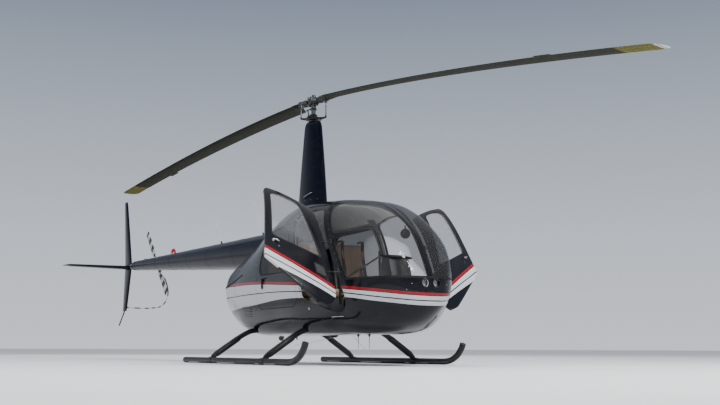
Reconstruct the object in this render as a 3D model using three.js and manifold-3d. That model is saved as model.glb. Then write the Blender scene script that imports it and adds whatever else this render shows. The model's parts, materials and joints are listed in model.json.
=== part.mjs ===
// Four-seat light helicopter on skids, with its front doors standing open.
// Millimetres, +Z up, nose toward -Y, port side toward +X, standing on its skids at z = 0.
// Tables are in metres as [forward, port, up], measured from the rotor mast at ground level.
import * as THREE from 'three';
import { mergeVertices } from 'three/addons/utils/BufferGeometryUtils.js';
import Module from 'manifold-3d';

const wasm = await Module();
wasm.setup();
const { Manifold, Mesh } = wasm;

// Driving dimensions, in metres unless the name says otherwise
const ORIGIN_SHIFT = [0.0084975, -0.975775, 0];   // port, aft, up: box's bottom centre to the origin
const SKIN = 0.030;               // wall of shells and doors
const GLASS = 0.010;              // thickness of glazing
const SEAT_GAP = 0.0004;          // gap between pieces that touch
const DOOR_GAP = 0.013;           // gap around each door
const SILL_Z = 0.885;             // lower edge of the windshield, and the split of the cabin
const FIREWALL_X = -0.42;         // bulkhead between cabin and engine bay
const STRIP_W = 0.045;            // width of the windshield's centre strip
const ROTOR_R = 5.03;             // main rotor radius
const ROTOR_CHORD = 0.254;
const ROTOR_AZIMUTH = 7.3;        // degrees from the nose toward port at rest
const HUB_Z = 3.205;
const BLADE_DROOP = 0.52;         // tip below the hub at rest
const MAST_R = 0.028;
const MAST_HOLE_R = 0.0285;       // round the mast, in the fairing and the swashplate
const HUB_ARM_R = 0.048;
const SWASH_TOP = 3.0;            // upper face of the swashplate
const LINK_HEAD_R = 0.17;         // distance from the mast at which a pitch link meets the hub's arm
const TAIL_ROTOR = [-5.892, 0.262, 1.635];
const TAIL_ROTOR_R = 0.7365;
const TAIL_ROTOR_CHORD = 0.13;
const TAIL_ROTOR_ANGLE = 42;      // degrees of the upper blade aft of vertical at rest
const BOOM_TOP_Z = 1.664;
const BOOM_FRONT = [-0.74, 0.247];
const BOOM_REAR = [-6.17, 0.079];
const SKID_Y = 1.0;
const SKID_R = 0.036;
const CROSS_TUBES = { front: 0.72, rear: -0.66 };   // stations of the cross tubes
const CROSS_TUBE_R = 0.0335;
const FLOOR_Z = 0.495;            // top of the cabin floor
const LAMP = [2.30, 0.066, 0.835];
const LAMP_R = 0.046;
const LAMP_GAP = 0.0006;
const STABILIZER_Z = 1.575;
const STICK_PIVOT = [1.10, 1.06];   // forward and up of the point where the stick's bar tilts
const STICK_ARM = [0.26, 0.155];    // reach to each side, and rise of the port end

// Hinge lines, upper and lower point on the starboard side (forward, port, up)
const HINGE_FRONT = {
  line: [[1.300, -0.607, 1.66], [1.715, -0.620, 0.87]],
  heights: [1.30, 0.98],
  frameArm: [[0.045, -0.016]],      // steps of [distance behind the hinge, height above the skin]
  doorArm: [[0.098, 0.013], [0.122, -0.014]],
};
const HINGE_REAR = {
  line: [[0.575, -0.662, 1.55], [0.765, -0.662, 0.90]],
  heights: [1.34, 0.96],
  frameArm: [[-0.032, -0.016]],
  doorArm: [[0.032, -0.016]],
};
const KNUCKLE_R = 0.009;
const KNUCKLE_LENGTH = 0.028;
const ARM_R = 0.006;
const OPEN_FRONT_DEG = { starboard: 85, port: 76 };

// Windshield: the slanted plane of its rear edge, from the sill to the roof (forward, up)
const WINDSHIELD_FOOT = 1.700;
const WINDSHIELD_SLOPE = 0.56;    // set back for each metre of height

// Body sections: forward station, half width, belly, crown, height of greatest width,
// and the roundness of the upper and lower part (2 is an ellipse, more is boxier)
const BODY = [
  [2.450, 0.015, 0.755, 0.785, 0.770, 2.8, 2.2],
  [2.440, 0.110, 0.690, 0.860, 0.770, 2.8, 2.2],
  [2.420, 0.190, 0.630, 0.925, 0.780, 2.8, 2.2],
  [2.380, 0.265, 0.565, 1.020, 0.800, 2.8, 2.1],
  [2.320, 0.335, 0.505, 1.130, 0.830, 2.8, 2.0],
  [2.240, 0.405, 0.450, 1.285, 0.860, 2.8, 2.0],
  [2.120, 0.475, 0.400, 1.420, 0.900, 2.8, 2.4],
  [1.930, 0.540, 0.353, 1.563, 0.930, 2.8, 3.3],
  [1.700, 0.585, 0.330, 1.693, 0.950, 3.0, 4.0],
  [1.430, 0.615, 0.330, 1.785, 0.950, 3.4, 4.0],
  [1.100, 0.635, 0.330, 1.820, 0.950, 3.8, 4.0],
  [0.700, 0.645, 0.330, 1.850, 0.950, 3.8, 4.0],
  [0.200, 0.610, 0.330, 1.870, 0.950, 2.9, 4.0],
  [-0.300, 0.575, 0.330, 1.820, 0.945, 2.1, 4.0],
  [-0.700, 0.533, 0.327, 1.730, 0.940, 1.7, 3.7],
  [-1.000, 0.493, 0.343, 1.628, 0.930, 1.6, 3.2],
  [-1.250, 0.450, 0.373, 1.500, 0.920, 1.7, 2.6],
  [-1.450, 0.420, 0.418, 1.368, 0.915, 2.0, 2.2],
  [-1.600, 0.393, 0.489, 1.237, 0.910, 2.5, 1.9],
  [-1.690, 0.310, 0.585, 1.105, 0.885, 2.6, 2.1],
  [-1.730, 0.150, 0.700, 0.970, 0.840, 2.5, 2.2],
  [-1.740, 0.020, 0.820, 0.860, 0.840, 2.8, 2.3],
];
const BODY_POINTS = 32;           // points around each section

// Outlines in side view (forward, up)
const FRONT_DOOR = [[1.190, 1.670], [1.653, 0.834], [1.715, 0.700], [1.715, 0.620], [1.660, 0.560],
  [1.550, 0.550], [1.175, 0.660], [0.890, 0.740], [0.872, 0.762], [0.616, 1.632], [0.840, 1.672],
  [1.020, 1.682]];
const FRONT_WINDOW = [[1.020, 1.640], [1.212, 1.360], [1.385, 1.120], [1.440, 1.045], [0.868, 1.030],
  [0.690, 1.582], [0.835, 1.628]];
const REAR_DOOR = [[0.535, 1.650], [0.795, 0.770], [0.785, 0.690], [0.720, 0.640], [-0.200, 0.640],
  [-0.300, 0.700], [-0.345, 0.860], [-0.345, 1.350], [-0.230, 1.600]];
const REAR_WINDOW = [[0.490, 1.605], [0.665, 1.040], [-0.220, 1.040], [-0.285, 1.110], [-0.285, 1.335],
  [-0.190, 1.560]];

const COLOURS = {
  black: [0x0b0c10, 0.22, 0.0],
  navy: [0x10142a, 0.25, 0.0],
  glass: [0x20262b, 0.05, 0.0],
  dark: [0x1b1c1e, 0.6, 0.0],
  metal: [0x9a9c9e, 0.35, 0.9],
  tan: [0x9c6f45, 0.7, 0.0],
  grey: [0x6f7073, 0.7, 0.0],
  blade: [0x15150f, 0.5, 0.1],
  red: [0xb01018, 0.15, 0.0],
  lamp: [0xd8dadb, 0.1, 0.3],
};

const helicopter = new THREE.Group();
helicopter.name = 'helicopter';

// Millimetre point from forward, port and up in metres
function at(forward, port, up) {
  return new THREE.Vector3(port * 1000, -forward * 1000, up * 1000);
}

// Closed manifold from a geometry, with its faces turned outward
function solid(geometry) {
  const g = geometry.clone();
  g.deleteAttribute('normal');
  g.deleteAttribute('uv');
  const m = mergeVertices(g, 1e-4);
  const vertProperties = new Float32Array(m.attributes.position.array);
  const triVerts = new Uint32Array(m.index.array);
  let signed = 0;
  const a = new THREE.Vector3();
  const b = new THREE.Vector3();
  const c = new THREE.Vector3();
  for (let i = 0; i < triVerts.length; i += 3) {
    a.fromArray(vertProperties, triVerts[i] * 3);
    b.fromArray(vertProperties, triVerts[i + 1] * 3);
    c.fromArray(vertProperties, triVerts[i + 2] * 3);
    signed += a.dot(b.cross(c));
  }
  if (signed < 0) {
    for (let i = 0; i < triVerts.length; i += 3) {
      const keep = triVerts[i];
      triVerts[i] = triVerts[i + 1];
      triVerts[i + 1] = keep;
    }
  }
  return new Manifold(new Mesh({ numProp: 3, vertProperties, triVerts }));
}

// Three.js geometry from a manifold
function geometryOf(manifold) {
  const mesh = manifold.getMesh();
  const positions = new Float32Array(mesh.numVert * 3);
  for (let i = 0; i < mesh.numVert; i += 1) {
    for (let k = 0; k < 3; k += 1) {
      positions[i * 3 + k] = mesh.vertProperties[i * mesh.numProp + k];
    }
  }
  const g = new THREE.BufferGeometry();
  g.setAttribute('position', new THREE.BufferAttribute(positions, 3));
  g.setIndex(new THREE.BufferAttribute(new Uint32Array(mesh.triVerts), 1));
  g.computeVertexNormals();
  return g;
}

// Named mesh added to the helicopter
function add(name, manifold, look) {
  const [color, roughness, metalness] = COLOURS[look];
  const material = new THREE.MeshStandardMaterial({ color, roughness, metalness });
  material.name = look;
  const mesh = new THREE.Mesh(geometryOf(manifold), material);
  mesh.name = name;
  helicopter.add(mesh);
}

// Closed skin through equal rings of points, with a fan at each end
function loft(rings) {
  const count = rings[0].length;
  const positions = [];
  for (const ring of rings) {
    for (const p of ring) {
      positions.push(p.x, p.y, p.z);
    }
  }
  const index = [];
  for (let r = 0; r < rings.length - 1; r += 1) {
    for (let i = 0; i < count; i += 1) {
      const j = (i + 1) % count;
      const a = r * count + i;
      const b = r * count + j;
      index.push(a, b, a + count, b, b + count, a + count);
    }
  }
  for (const [r, flip] of [[0, true], [rings.length - 1, false]]) {
    const middle = new THREE.Vector3();
    for (const p of rings[r]) {
      middle.addScaledVector(p, 1 / count);
    }
    const centre = positions.length / 3;
    positions.push(middle.x, middle.y, middle.z);
    for (let i = 0; i < count; i += 1) {
      const a = r * count + i;
      const b = r * count + ((i + 1) % count);
      if (flip) {
        index.push(b, a, centre);
      } else {
        index.push(a, b, centre);
      }
    }
  }
  const g = new THREE.BufferGeometry();
  g.setAttribute('position', new THREE.Float32BufferAttribute(positions, 3));
  g.setIndex(index);
  return solid(g);
}

// Body section at a forward station by smooth interpolation of the table
function sectionAt(forward) {
  const rows = BODY;
  let k = 0;
  while (k < rows.length - 2 && rows[k + 1][0] > forward) {
    k += 1;
  }
  const p0 = rows[Math.max(k - 1, 0)];
  const p1 = rows[k];
  const p2 = rows[k + 1];
  const p3 = rows[Math.min(k + 2, rows.length - 1)];
  const t = Math.min(Math.max((p1[0] - forward) / (p1[0] - p2[0]), 0), 1);
  const out = [];
  const h = p1[0] - p2[0];
  for (let c = 1; c < p1.length; c += 1) {
    const m1 = p0 === p1 ? (p2[c] - p1[c]) / h : (p2[c] - p0[c]) / (p0[0] - p2[0]);
    const m2 = p3 === p2 ? (p2[c] - p1[c]) / h : (p3[c] - p1[c]) / (p1[0] - p3[0]);
    const t2 = t * t;
    const t3 = t2 * t;
    out.push((2 * t3 - 3 * t2 + 1) * p1[c] + (t3 - 2 * t2 + t) * h * m1
      + (3 * t2 - 2 * t3) * p2[c] + (t3 - t2) * h * m2);
  }
  return out;
}

// Half width of the closed body at a station and height
function halfWidth(forward, up) {
  const [w, zb, zt, zm, upperPower, lowerPower] = sectionAt(forward);
  const upper = up > zm;
  const power = upper ? upperPower : lowerPower;
  const span = upper ? zt - zm : zm - zb;
  const q = Math.min(Math.abs(up - zm) / span, 1);
  return w * (1 - q ** power) ** (1 / power);
}

// Body form set inward by an offset, or outward when it is negative
function bodyForm(inset) {
  const rings = [];
  for (const row of BODY) {
    const sign = row[0] > 1.5 ? 1 : row[0] < -0.9 ? -1 : 0;
    const reach = row[0] > 2.3 || row[0] < -1.6 ? 1 : 0.55;
    const station = row[0] - sign * inset * reach;
    const [, w0, zb, zt, zm, upperPower, lowerPower] = row;
    const w = Math.max(w0 - inset * 0.9, w0 * 0.5);
    const low = Math.min(zb + inset * 0.9, zm - (zm - zb) * 0.5);
    const high = Math.max(zt - inset * 0.9, zm + (zt - zm) * 0.5);
    const ring = [];
    for (let i = 0; i < BODY_POINTS; i += 1) {
      const angle = ((i + 0.5) / BODY_POINTS) * Math.PI * 2;
      const c = Math.cos(angle);
      const s = Math.sin(angle);
      const power = s > 0 ? upperPower : lowerPower;
      const y = w * Math.sign(c) * Math.abs(c) ** (2 / power);
      const half = s > 0 ? high - zm : zm - low;
      const z = zm + half * Math.sign(s) * Math.abs(s) ** (2 / power);
      ring.push(at(station, y, z));
    }
    rings.push(ring);
  }
  return loft(rings);
}

// Block between two corners (forward, port, up)
function block(f0, f1, p0, p1, u0, u1) {
  const g = new THREE.BoxGeometry((p1 - p0) * 1000, (f1 - f0) * 1000, (u1 - u0) * 1000);
  g.translate((p0 + p1) * 500, -(f0 + f1) * 500, (u0 + u1) * 500);
  return solid(g);
}

// Side-view outline drawn out across the helicopter
function sidePrism(outline, port0, port1) {
  const shape = new THREE.Shape(outline.map(([f, u]) => new THREE.Vector2(f * 1000, u * 1000)));
  const g = new THREE.ExtrudeGeometry(shape, { depth: (port1 - port0) * 1000, bevelEnabled: false });
  const m = new THREE.Matrix4().set(
    0, 0, 1, port0 * 1000,
    -1, 0, 0, 0,
    0, 1, 0, 0,
    0, 0, 0, 1,
  );
  g.applyMatrix4(m);
  return solid(g);
}

// Outline grown outward by a distance (positive grows)
function grown(outline, distance) {
  const n = outline.length;
  let area = 0;
  for (let i = 0; i < n; i += 1) {
    const [x0, y0] = outline[i];
    const [x1, y1] = outline[(i + 1) % n];
    area += x0 * y1 - x1 * y0;
  }
  const side = area > 0 ? 1 : -1;
  const out = [];
  for (let i = 0; i < n; i += 1) {
    const a = outline[(i + n - 1) % n];
    const b = outline[i];
    const c = outline[(i + 1) % n];
    const d1 = new THREE.Vector2(b[0] - a[0], b[1] - a[1]).normalize();
    const d2 = new THREE.Vector2(c[0] - b[0], c[1] - b[1]).normalize();
    const n1 = new THREE.Vector2(d1.y * side, -d1.x * side);
    const n2 = new THREE.Vector2(d2.y * side, -d2.x * side);
    const m = n1.clone().add(n2).normalize();
    const k = distance / Math.max(m.dot(n1), 0.5);
    out.push([b[0] + m.x * k, b[1] + m.y * k]);
  }
  return out;
}

// Round bar through points (forward, port, up)
function bar(points, radius, sides = 10) {
  const path = points.map((p) => at(...p));
  const radii = Array.isArray(radius) ? radius : path.map(() => radius);
  const rings = [];
  let side = null;
  for (let i = 0; i < path.length; i += 1) {
    const before = path[Math.max(i - 1, 0)];
    const after = path[Math.min(i + 1, path.length - 1)];
    const along = after.clone().sub(before).normalize();
    if (!side) {
      const start = Math.abs(along.z) < 0.9 ? new THREE.Vector3(0, 0, 1) : new THREE.Vector3(1, 0, 0);
      side = start.cross(along).normalize();
    } else {
      side.addScaledVector(along, -side.dot(along)).normalize();
    }
    const up = along.clone().cross(side);
    const ring = [];
    for (let k = 0; k < sides; k += 1) {
      const angle = ((k + 0.5) / sides) * Math.PI * 2;
      const p = path[i].clone();
      p.addScaledVector(side, Math.cos(angle) * radii[i] * 1000);
      p.addScaledVector(up, Math.sin(angle) * radii[i] * 1000);
      ring.push(p);
    }
    rings.push(ring);
  }
  return loft(rings);
}

// Rounded bead
function bead(centre, rf, rp, ru, segments = 12) {
  const g = new THREE.SphereGeometry(1, segments, segments / 2 + 2);
  g.scale(rp * 1000, rf * 1000, ru * 1000);
  const c = at(...centre);
  g.translate(c.x, c.y, c.z);
  return solid(g);
}

// Turns a solid about a line through two points (forward, port, up)
function turned(manifold, from, to, degrees) {
  const a = at(...from);
  const axis = at(...to).sub(a).normalize();
  const m = new THREE.Matrix4().makeTranslation(a.x, a.y, a.z);
  m.multiply(new THREE.Matrix4().makeRotationAxis(axis, THREE.MathUtils.degToRad(degrees)));
  m.multiply(new THREE.Matrix4().makeTranslation(-a.x, -a.y, -a.z));
  return manifold.transform(m.elements);
}

function mirrored(points) {
  return points.map(([f, p, u]) => [f, -p, u]);
}

// Knuckles and arms of a door's two hinges: the frame's half or the door's half, starboard side
function hingeHalf(hinge, half) {
  const [top, foot] = hinge.line;
  const length = Math.hypot(top[0] - foot[0], top[1] - foot[1], top[2] - foot[2]);
  const along = [0, 1, 2].map((k) => (top[k] - foot[k]) / length);
  const e = KNUCKLE_LENGTH / 2;
  const shift = half === 'frame' ? e + 0.0003 : -e - 0.0003;
  return hinge.heights.map((height) => {
    const t = (height - foot[2]) / (top[2] - foot[2]);
    const c = [0, 1, 2].map((k) => foot[k] + (top[k] - foot[k]) * t + along[k] * shift);
    const ends = [-e, e].map((reach) => c.map((value, k) => value + along[k] * reach));
    const arm = half === 'frame' ? hinge.frameArm : hinge.doorArm;
    const path = arm.map(([behind, above]) => {
      const f = c[0] - behind * along[2];
      const u = c[2] + behind * along[0];
      return [f, -(halfWidth(f, u) + above), u];
    });
    return bar(ends, KNUCKLE_R, 12).add(bar([c, ...path], ARM_R, 8));
  });
}

function mirroredSolid(manifold) {
  return manifold.mirror([1, 0, 0]);
}

const OUTER = bodyForm(0);
const INNER = bodyForm(SKIN);
const GLASS_INNER = bodyForm(GLASS);
const OUTER_CLEAR = bodyForm(-SEAT_GAP);
const INNER_CLEAR = bodyForm(SKIN + SEAT_GAP);
const SHELL = OUTER.subtract(INNER);
const GLAZING = OUTER.subtract(GLASS_INNER);

const BOOM_CLEAR = 0.0005;

function boomForm(extra) {
  const rows = [BOOM_FRONT, BOOM_REAR];
  const points = rows.map(([f, r]) => [f, 0, BOOM_TOP_Z - r]);
  return bar(points, rows.map(([, r]) => r + extra), 24);
}

// Region ahead of the slanted front door posts and above the sill
function windshieldRegion(gap) {
  const low = SILL_Z + gap;
  const foot = WINDSHIELD_FOOT + gap;
  const front = 2.6;
  const top = 2.1;
  const head = foot - WINDSHIELD_SLOPE * (top - low);
  return sidePrism([[foot, low], [front, low], [front, top], [head, top]], -0.8, 0.8);
}

function cabin() {
  let rest = SHELL.intersect(block(FIREWALL_X, 2.6, -0.8, 0.8, 0.2, 2.0));
  rest = rest.subtract(windshieldRegion(0));
  const openings = [sidePrism(grown(FRONT_DOOR, DOOR_GAP), -0.8, 0.8),
    sidePrism(grown(REAR_DOOR, DOOR_GAP), -0.8, 0.8)];
  for (const hole of openings) {
    rest = rest.subtract(hole);
  }
  const glassSpace = OUTER_CLEAR.intersect(windshieldRegion(0));
  for (const hinge of [HINGE_FRONT, HINGE_REAR]) {
    for (const form of hingeHalf(hinge, 'frame')) {
      const half = form.subtract(glassSpace);
      rest = rest.add(half).add(mirroredSolid(half));
    }
  }
  const upper = rest.intersect(block(-3, 3, -2, 2, SILL_Z, 3));
  let lower = rest.intersect(block(-3, 3, -2, 2, -1, SILL_Z - SEAT_GAP));
  for (const hole of crossTubeHoles()) {
    lower = lower.subtract(hole);
  }
  lower = lower.subtract(lampForm(-1, LAMP_GAP)).subtract(lampForm(1, LAMP_GAP));
  add('cabin_frame', upper, 'black');
  add('lower_shell', lower, 'black');
}

function windshield() {
  const region = GLAZING.intersect(windshieldRegion(SEAT_GAP));
  const half = STRIP_W / 2;
  add('windshield_starboard', region.intersect(block(0, 3, -1, -half - SEAT_GAP, 0, 3)), 'glass');
  add('windshield_port', region.intersect(block(0, 3, half + SEAT_GAP, 1, 0, 3)), 'glass');
  const strip = OUTER.subtract(bodyForm(0.02)).intersect(windshieldRegion(SEAT_GAP));
  add('windshield_strip', strip.intersect(block(0, 3, -half, half, 0, 3)), 'black');
}

// Closed door leaf and its window, for one side
function doorSolids(outline, window, side, hinge) {
  const inside = side === 'port' ? [0.2, 1] : [-1, -0.2];
  let leaf = SHELL.intersect(sidePrism(outline, ...inside))
    .subtract(sidePrism(window, ...inside));
  for (const half of hingeHalf(hinge, 'door')) {
    leaf = leaf.add(side === 'port' ? mirroredSolid(half) : half);
  }
  const pane = GLAZING.intersect(sidePrism(grown(window, -SEAT_GAP * 1.5), ...inside));
  return [leaf, pane];
}

function doors() {
  for (const side of ['starboard', 'port']) {
    const line = side === 'port' ? mirrored(HINGE_FRONT.line) : HINGE_FRONT.line;
    const turn = side === 'port' ? OPEN_FRONT_DEG.port : -OPEN_FRONT_DEG.starboard;
    const [frontLeaf, frontPane] = doorSolids(FRONT_DOOR, FRONT_WINDOW, side, HINGE_FRONT);
    add(`door_front_${side}`, turned(frontLeaf, line[0], line[1], turn), 'black');
    add(`door_window_front_${side}`, turned(frontPane, line[0], line[1], turn), 'glass');
    const [rearLeaf, rearPane] = doorSolids(REAR_DOOR, REAR_WINDOW, side, HINGE_REAR);
    add(`door_rear_${side}`, rearLeaf, 'black');
    add(`door_window_rear_${side}`, rearPane, 'glass');
  }
}

function engineBay() {
  const behind = block(-3, FIREWALL_X - SEAT_GAP, -1, 1, 0, 3);
  let cowl = SHELL.intersect(behind);
  cowl = cowl.subtract(boomForm(BOOM_CLEAR));
  for (const hole of crossTubeHoles()) {
    cowl = cowl.subtract(hole);
  }
  add('engine_cowl', cowl, 'black');
  const wall = INNER_CLEAR.intersect(block(FIREWALL_X - 0.02, FIREWALL_X - 0.001, -1, 1, 0, 3));
  add('firewall', wall, 'grey');
  const crankcase = block(-1.15, -0.62, -0.26, 0.26, 0.50, 0.86);
  const mounting = block(-0.63, FIREWALL_X - 0.0206, -0.12, 0.12, 0.60, 0.74);
  add('engine_block', crankcase.add(mounting), 'dark');
}

function mastFairing() {
  const rows = [
    [1.80, 0.300, 0.110],
    [1.95, 0.298, 0.108],
    [2.30, 0.255, 0.098],
    [2.70, 0.195, 0.086],
    [2.89, 0.165, 0.079],
    [2.935, 0.145, 0.066],
    [2.950, 0.110, 0.050],
  ];
  const rings = rows.map(([z, a, b]) => {
    const ring = [];
    for (let i = 0; i < 20; i += 1) {
      const t = (i / 20) * Math.PI * 2;
      ring.push(at(a * Math.cos(t), b * Math.sin(t), z));
    }
    return ring;
  });
  let fairing = loft(rings).subtract(OUTER_CLEAR);
  fairing = fairing.subtract(bar([[0, 0, 2.6], [0, 0, 3.1]], MAST_HOLE_R, 32));
  add('mast_fairing', fairing, 'navy');
}

// Height of the blade's line at a distance from the mast; end is 1 forward, -1 aft
function bladeZ(r, end) {
  return HUB_Z - BLADE_DROOP * (r / ROTOR_R) ** 1.5 + end * r * Math.sin(THREE.MathUtils.degToRad(0.5));
}

function bladeForm(end) {
  const azimuth = THREE.MathUtils.degToRad(ROTOR_AZIMUTH + (end > 0 ? 0 : 180));
  const out = [Math.cos(azimuth), Math.sin(azimuth)];
  const lead = [-Math.sin(azimuth), Math.cos(azimuth)];
  const rows = [
    [0.275, 0.50, 0.060, 5],
    [0.34, 0.86, 0.046, 5],
    [0.42, 1.00, 0.036, 5],
    [1.50, 1.00, 0.030, 4],
    [2.60, 1.00, 0.030, 3],
    [3.80, 1.00, 0.028, 2],
    [4.70, 1.00, 0.026, 1],
    [4.95, 0.94, 0.022, 1],
    [ROTOR_R, 0.70, 0.012, 1],
  ];
  const foil = [[0.25, 0], [0.20, 0.42], [0.08, 0.52], [-0.15, 0.46], [-0.45, 0.25], [-0.75, 0.05],
    [-0.75, -0.05], [-0.45, -0.20], [-0.15, -0.38], [0.08, -0.46], [0.20, -0.36]];
  const rings = rows.map(([r, share, thick, pitch]) => {
    const k = THREE.MathUtils.degToRad(pitch);
    return foil.map(([c, t]) => {
      const chord = c * ROTOR_CHORD * share;
      const up = t * thick;
      const a = chord * Math.cos(k) - up * Math.sin(k);
      const b = chord * Math.sin(k) + up * Math.cos(k);
      return at(r * out[0] + a * lead[0], r * out[1] + a * lead[1], bladeZ(r, end) + b);
    });
  });
  return loft(rings);
}

function mainRotor() {
  const azimuth = THREE.MathUtils.degToRad(ROTOR_AZIMUTH);
  add('rotor_mast', bar([[0, 0, 2.72], [0, 0, HUB_Z - 0.0447]], MAST_R, 16), 'metal');
  add('swashplate', bar([[0, 0, 2.965], [0, 0, SWASH_TOP]], 0.13, 20)
    .subtract(bar([[0, 0, 2.9], [0, 0, 3.1]], MAST_HOLE_R, 16)), 'metal');
  const c = Math.cos(azimuth);
  const s = Math.sin(azimuth);
  const arms = (reach, radius) => bar([[-reach * c, -reach * s, HUB_Z], [reach * c, reach * s, HUB_Z]],
    radius, 8);
  for (const [name, sign] of [['a', 1], ['b', -1]]) {
    const beside = (along, across, up) => [sign * (along * c - across * s),
      sign * (along * s + across * c), up];
    const link = bar([beside(0.10, 0.075, SWASH_TOP - 0.02), beside(LINK_HEAD_R, 0.060, HUB_Z - 0.025),
      beside(LINK_HEAD_R, 0.045, HUB_Z - 0.005)], 0.008, 8)
      .subtract(bar([[0, 0, 2.9], [0, 0, SWASH_TOP + SEAT_GAP]], 0.2, 8));
    add(`pitch_link_${name}`, link.subtract(arms(0.3, HUB_ARM_R + SEAT_GAP)), 'metal');
  }
  const hub = arms(0.29, HUB_ARM_R)
    .add(bar([[0, 0, HUB_Z - 0.040], [0, 0, HUB_Z + 0.085]], 0.06, 12));
  add('rotor_hub', hub, 'dark');
  const seat = arms(0.29 + SEAT_GAP, HUB_ARM_R + SEAT_GAP);
  add('main_blade_a', bladeForm(1).subtract(seat), 'blade');
  add('main_blade_b', bladeForm(-1).subtract(seat), 'blade');
}

function tail() {
  add('tail_boom', boomForm(0), 'navy');
  const fin = [[-6.735, 2.750], [-6.890, 2.765], [-6.760, 1.670], [-6.760, 1.500], [-6.795, 0.825],
    [-6.600, 0.820], [-6.440, 1.500], [-6.425, 1.655]];
  add('vertical_fin', sidePrism(fin, -0.022, 0.022), 'navy');
  const f0 = -6.17;
  const zc = BOOM_TOP_Z - BOOM_REAR[1];
  const cap = bar([[f0 - 0.0029, 0, zc], [-6.30, 0, zc], [-6.47, 0, zc]], [0.079, 0.065, 0.03], 16);
  const finClear = sidePrism(grown(fin, SEAT_GAP), -0.0224, 0.0224);
  add('boom_tip', cap.subtract(boomForm(BOOM_CLEAR)).subtract(finClear), 'navy');
  const [gf, gp, gu] = TAIL_ROTOR;
  const box = bar([[gf, 0.02, gu - 0.02], [gf, 0.075, gu]], 0.062, 14)
    .add(bar([[gf, 0.05, gu], [gf, gp - 0.13, gu]], 0.045, 14));
  add('tail_gearbox', box.subtract(boomForm(BOOM_CLEAR)), 'dark');
  const stab = [[-0.0224, 0.034], [-1.12, 0.020]].map(([p, t]) => {
    const foil = [[-6.47, 0], [-6.50, 0.8], [-6.58, 1], [-6.74, 0.15], [-6.74, -0.15], [-6.58, -1],
      [-6.50, -0.8]];
    return foil.map(([f, k]) => at(f, p, STABILIZER_Z + k * t));
  });
  add('stabilizer', loft(stab), 'navy');
  const skid = bar([[-6.70, 0, 0.815], [-6.78, 0, 0.74], [-6.95, 0, 0.575]], 0.012, 8);
  add('tail_skid', skid.subtract(sidePrism(grown(fin, SEAT_GAP), -0.03, 0.03)), 'black');
  const guard = [[-6.64, 0.0, 0.885], [-6.30, 0.20, 0.862], [-5.95, 0.275, 0.862], [-5.72, 0.29, 0.878],
    [-5.51, 0.29, 0.945], [-5.37, 0.275, 1.05], [-5.30, 0.24, 1.17], [-5.27, 0.17, 1.33],
    [-5.26, 0.075, 1.452]];
  add('tail_rotor_guard', bar(guard, 0.012, 8).subtract(boomForm(BOOM_CLEAR))
    .subtract(sidePrism(grown(fin, SEAT_GAP), -0.0224, 0.0224)), 'black');
  for (const [name, path] of [['front', [[-1.309, 0, 1.650], [-1.62, 0, 2.15]]],
    ['rear', [[-2.634, 0, 1.650], [-2.93, 0, 2.13]]]]) {
    add(`antenna_${name}`, bar(path, [0.006, 0.003], 8).subtract(boomForm(BOOM_CLEAR)), 'lamp');
  }
  add('beacon', bead([-4.48, 0, 1.70], 0.04, 0.04, 0.05).subtract(boomForm(BOOM_CLEAR)), 'red');
}

function tailRotor() {
  const [f, p, u] = TAIL_ROTOR;
  add('tail_rotor_hub', bar([[f, p - 0.1295, u], [f, p + 0.03, u]], 0.026, 12), 'metal');
  const seat = bar([[f, p - 0.14, u], [f, p + 0.05, u]], 0.0264, 12);
  const angle = THREE.MathUtils.degToRad(TAIL_ROTOR_ANGLE);
  for (const [name, sign] of [['a', 1], ['b', -1]]) {
    const along = [-Math.sin(angle) * sign, Math.cos(angle) * sign];
    const across = [Math.cos(angle) * sign, Math.sin(angle) * sign];
    const rows = [[0.020, 0.30, 0.030], [0.16, 0.45, 0.026], [0.24, 1, 0.018], [TAIL_ROTOR_R, 1, 0.012]];
    const foil = [[0.5, 0], [0.25, 0.5], [-0.25, 0.45], [-0.5, 0.05], [-0.25, -0.45], [0.25, -0.5]];
    const rings = rows.map(([r, share, thick]) => foil.map(([c, t]) => {
      const chord = c * TAIL_ROTOR_CHORD * share;
      return at(f + along[0] * r + across[0] * chord, p + t * thick,
        u + along[1] * r + across[1] * chord);
    }));
    add(`tail_blade_${name}`, loft(rings).subtract(seat), 'black');
  }
}

// Path of a cross tube and its legs, starboard skid to port skid
function crossTubePath(station) {
  const half = [[0.990, 0.046], [0.950, 0.100], [0.80, 0.20], [0.60, 0.330], [0.45, 0.392], [0.25, 0.402]]
    .map(([p, u]) => [station, -p, u]);
  return [...half, ...mirrored(half).reverse()];
}

function crossTubeHoles() {
  return Object.values(CROSS_TUBES).map((station) => bar(crossTubePath(station), CROSS_TUBE_R + 0.0005, 10));
}

function landingGear() {
  const apothem = SKID_R * Math.cos(Math.PI / 12);
  for (const [side, sign] of [['starboard', -1], ['port', 1]]) {
    const y = SKID_Y * sign;
    const path = [[-1.45, y, apothem], [1.30, y, apothem], [1.48, y, 0.075], [1.60, y, 0.15],
      [1.66, y, 0.24]];
    add(`skid_${side}`, bar(path, SKID_R, 12), 'black');
  }
  for (const [name, station] of Object.entries(CROSS_TUBES)) {
    let tube = bar(crossTubePath(station), CROSS_TUBE_R, 10);
    for (const sign of [-1, 1]) {
      const y = SKID_Y * sign;
      tube = tube.subtract(bar([[-1.4, y, apothem], [1.3, y, apothem]], SKID_R + SEAT_GAP, 12));
      tube = tube.subtract(block(-1.4, 1.3, Math.min(y, y * 1.1), Math.max(y, y * 1.1), -0.1, 0.3));
    }
    add(`cross_tube_${name}`, tube, 'black');
  }
}

// Landing lamp drawn out forward through the nose, -1 for the starboard one and 1 for the port one
function lampForm(sign, extra) {
  const [f, p, u] = LAMP;
  return bar([[f, sign * p, u], [f + 0.15, sign * p, u]], LAMP_R + extra, 16);
}

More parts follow.
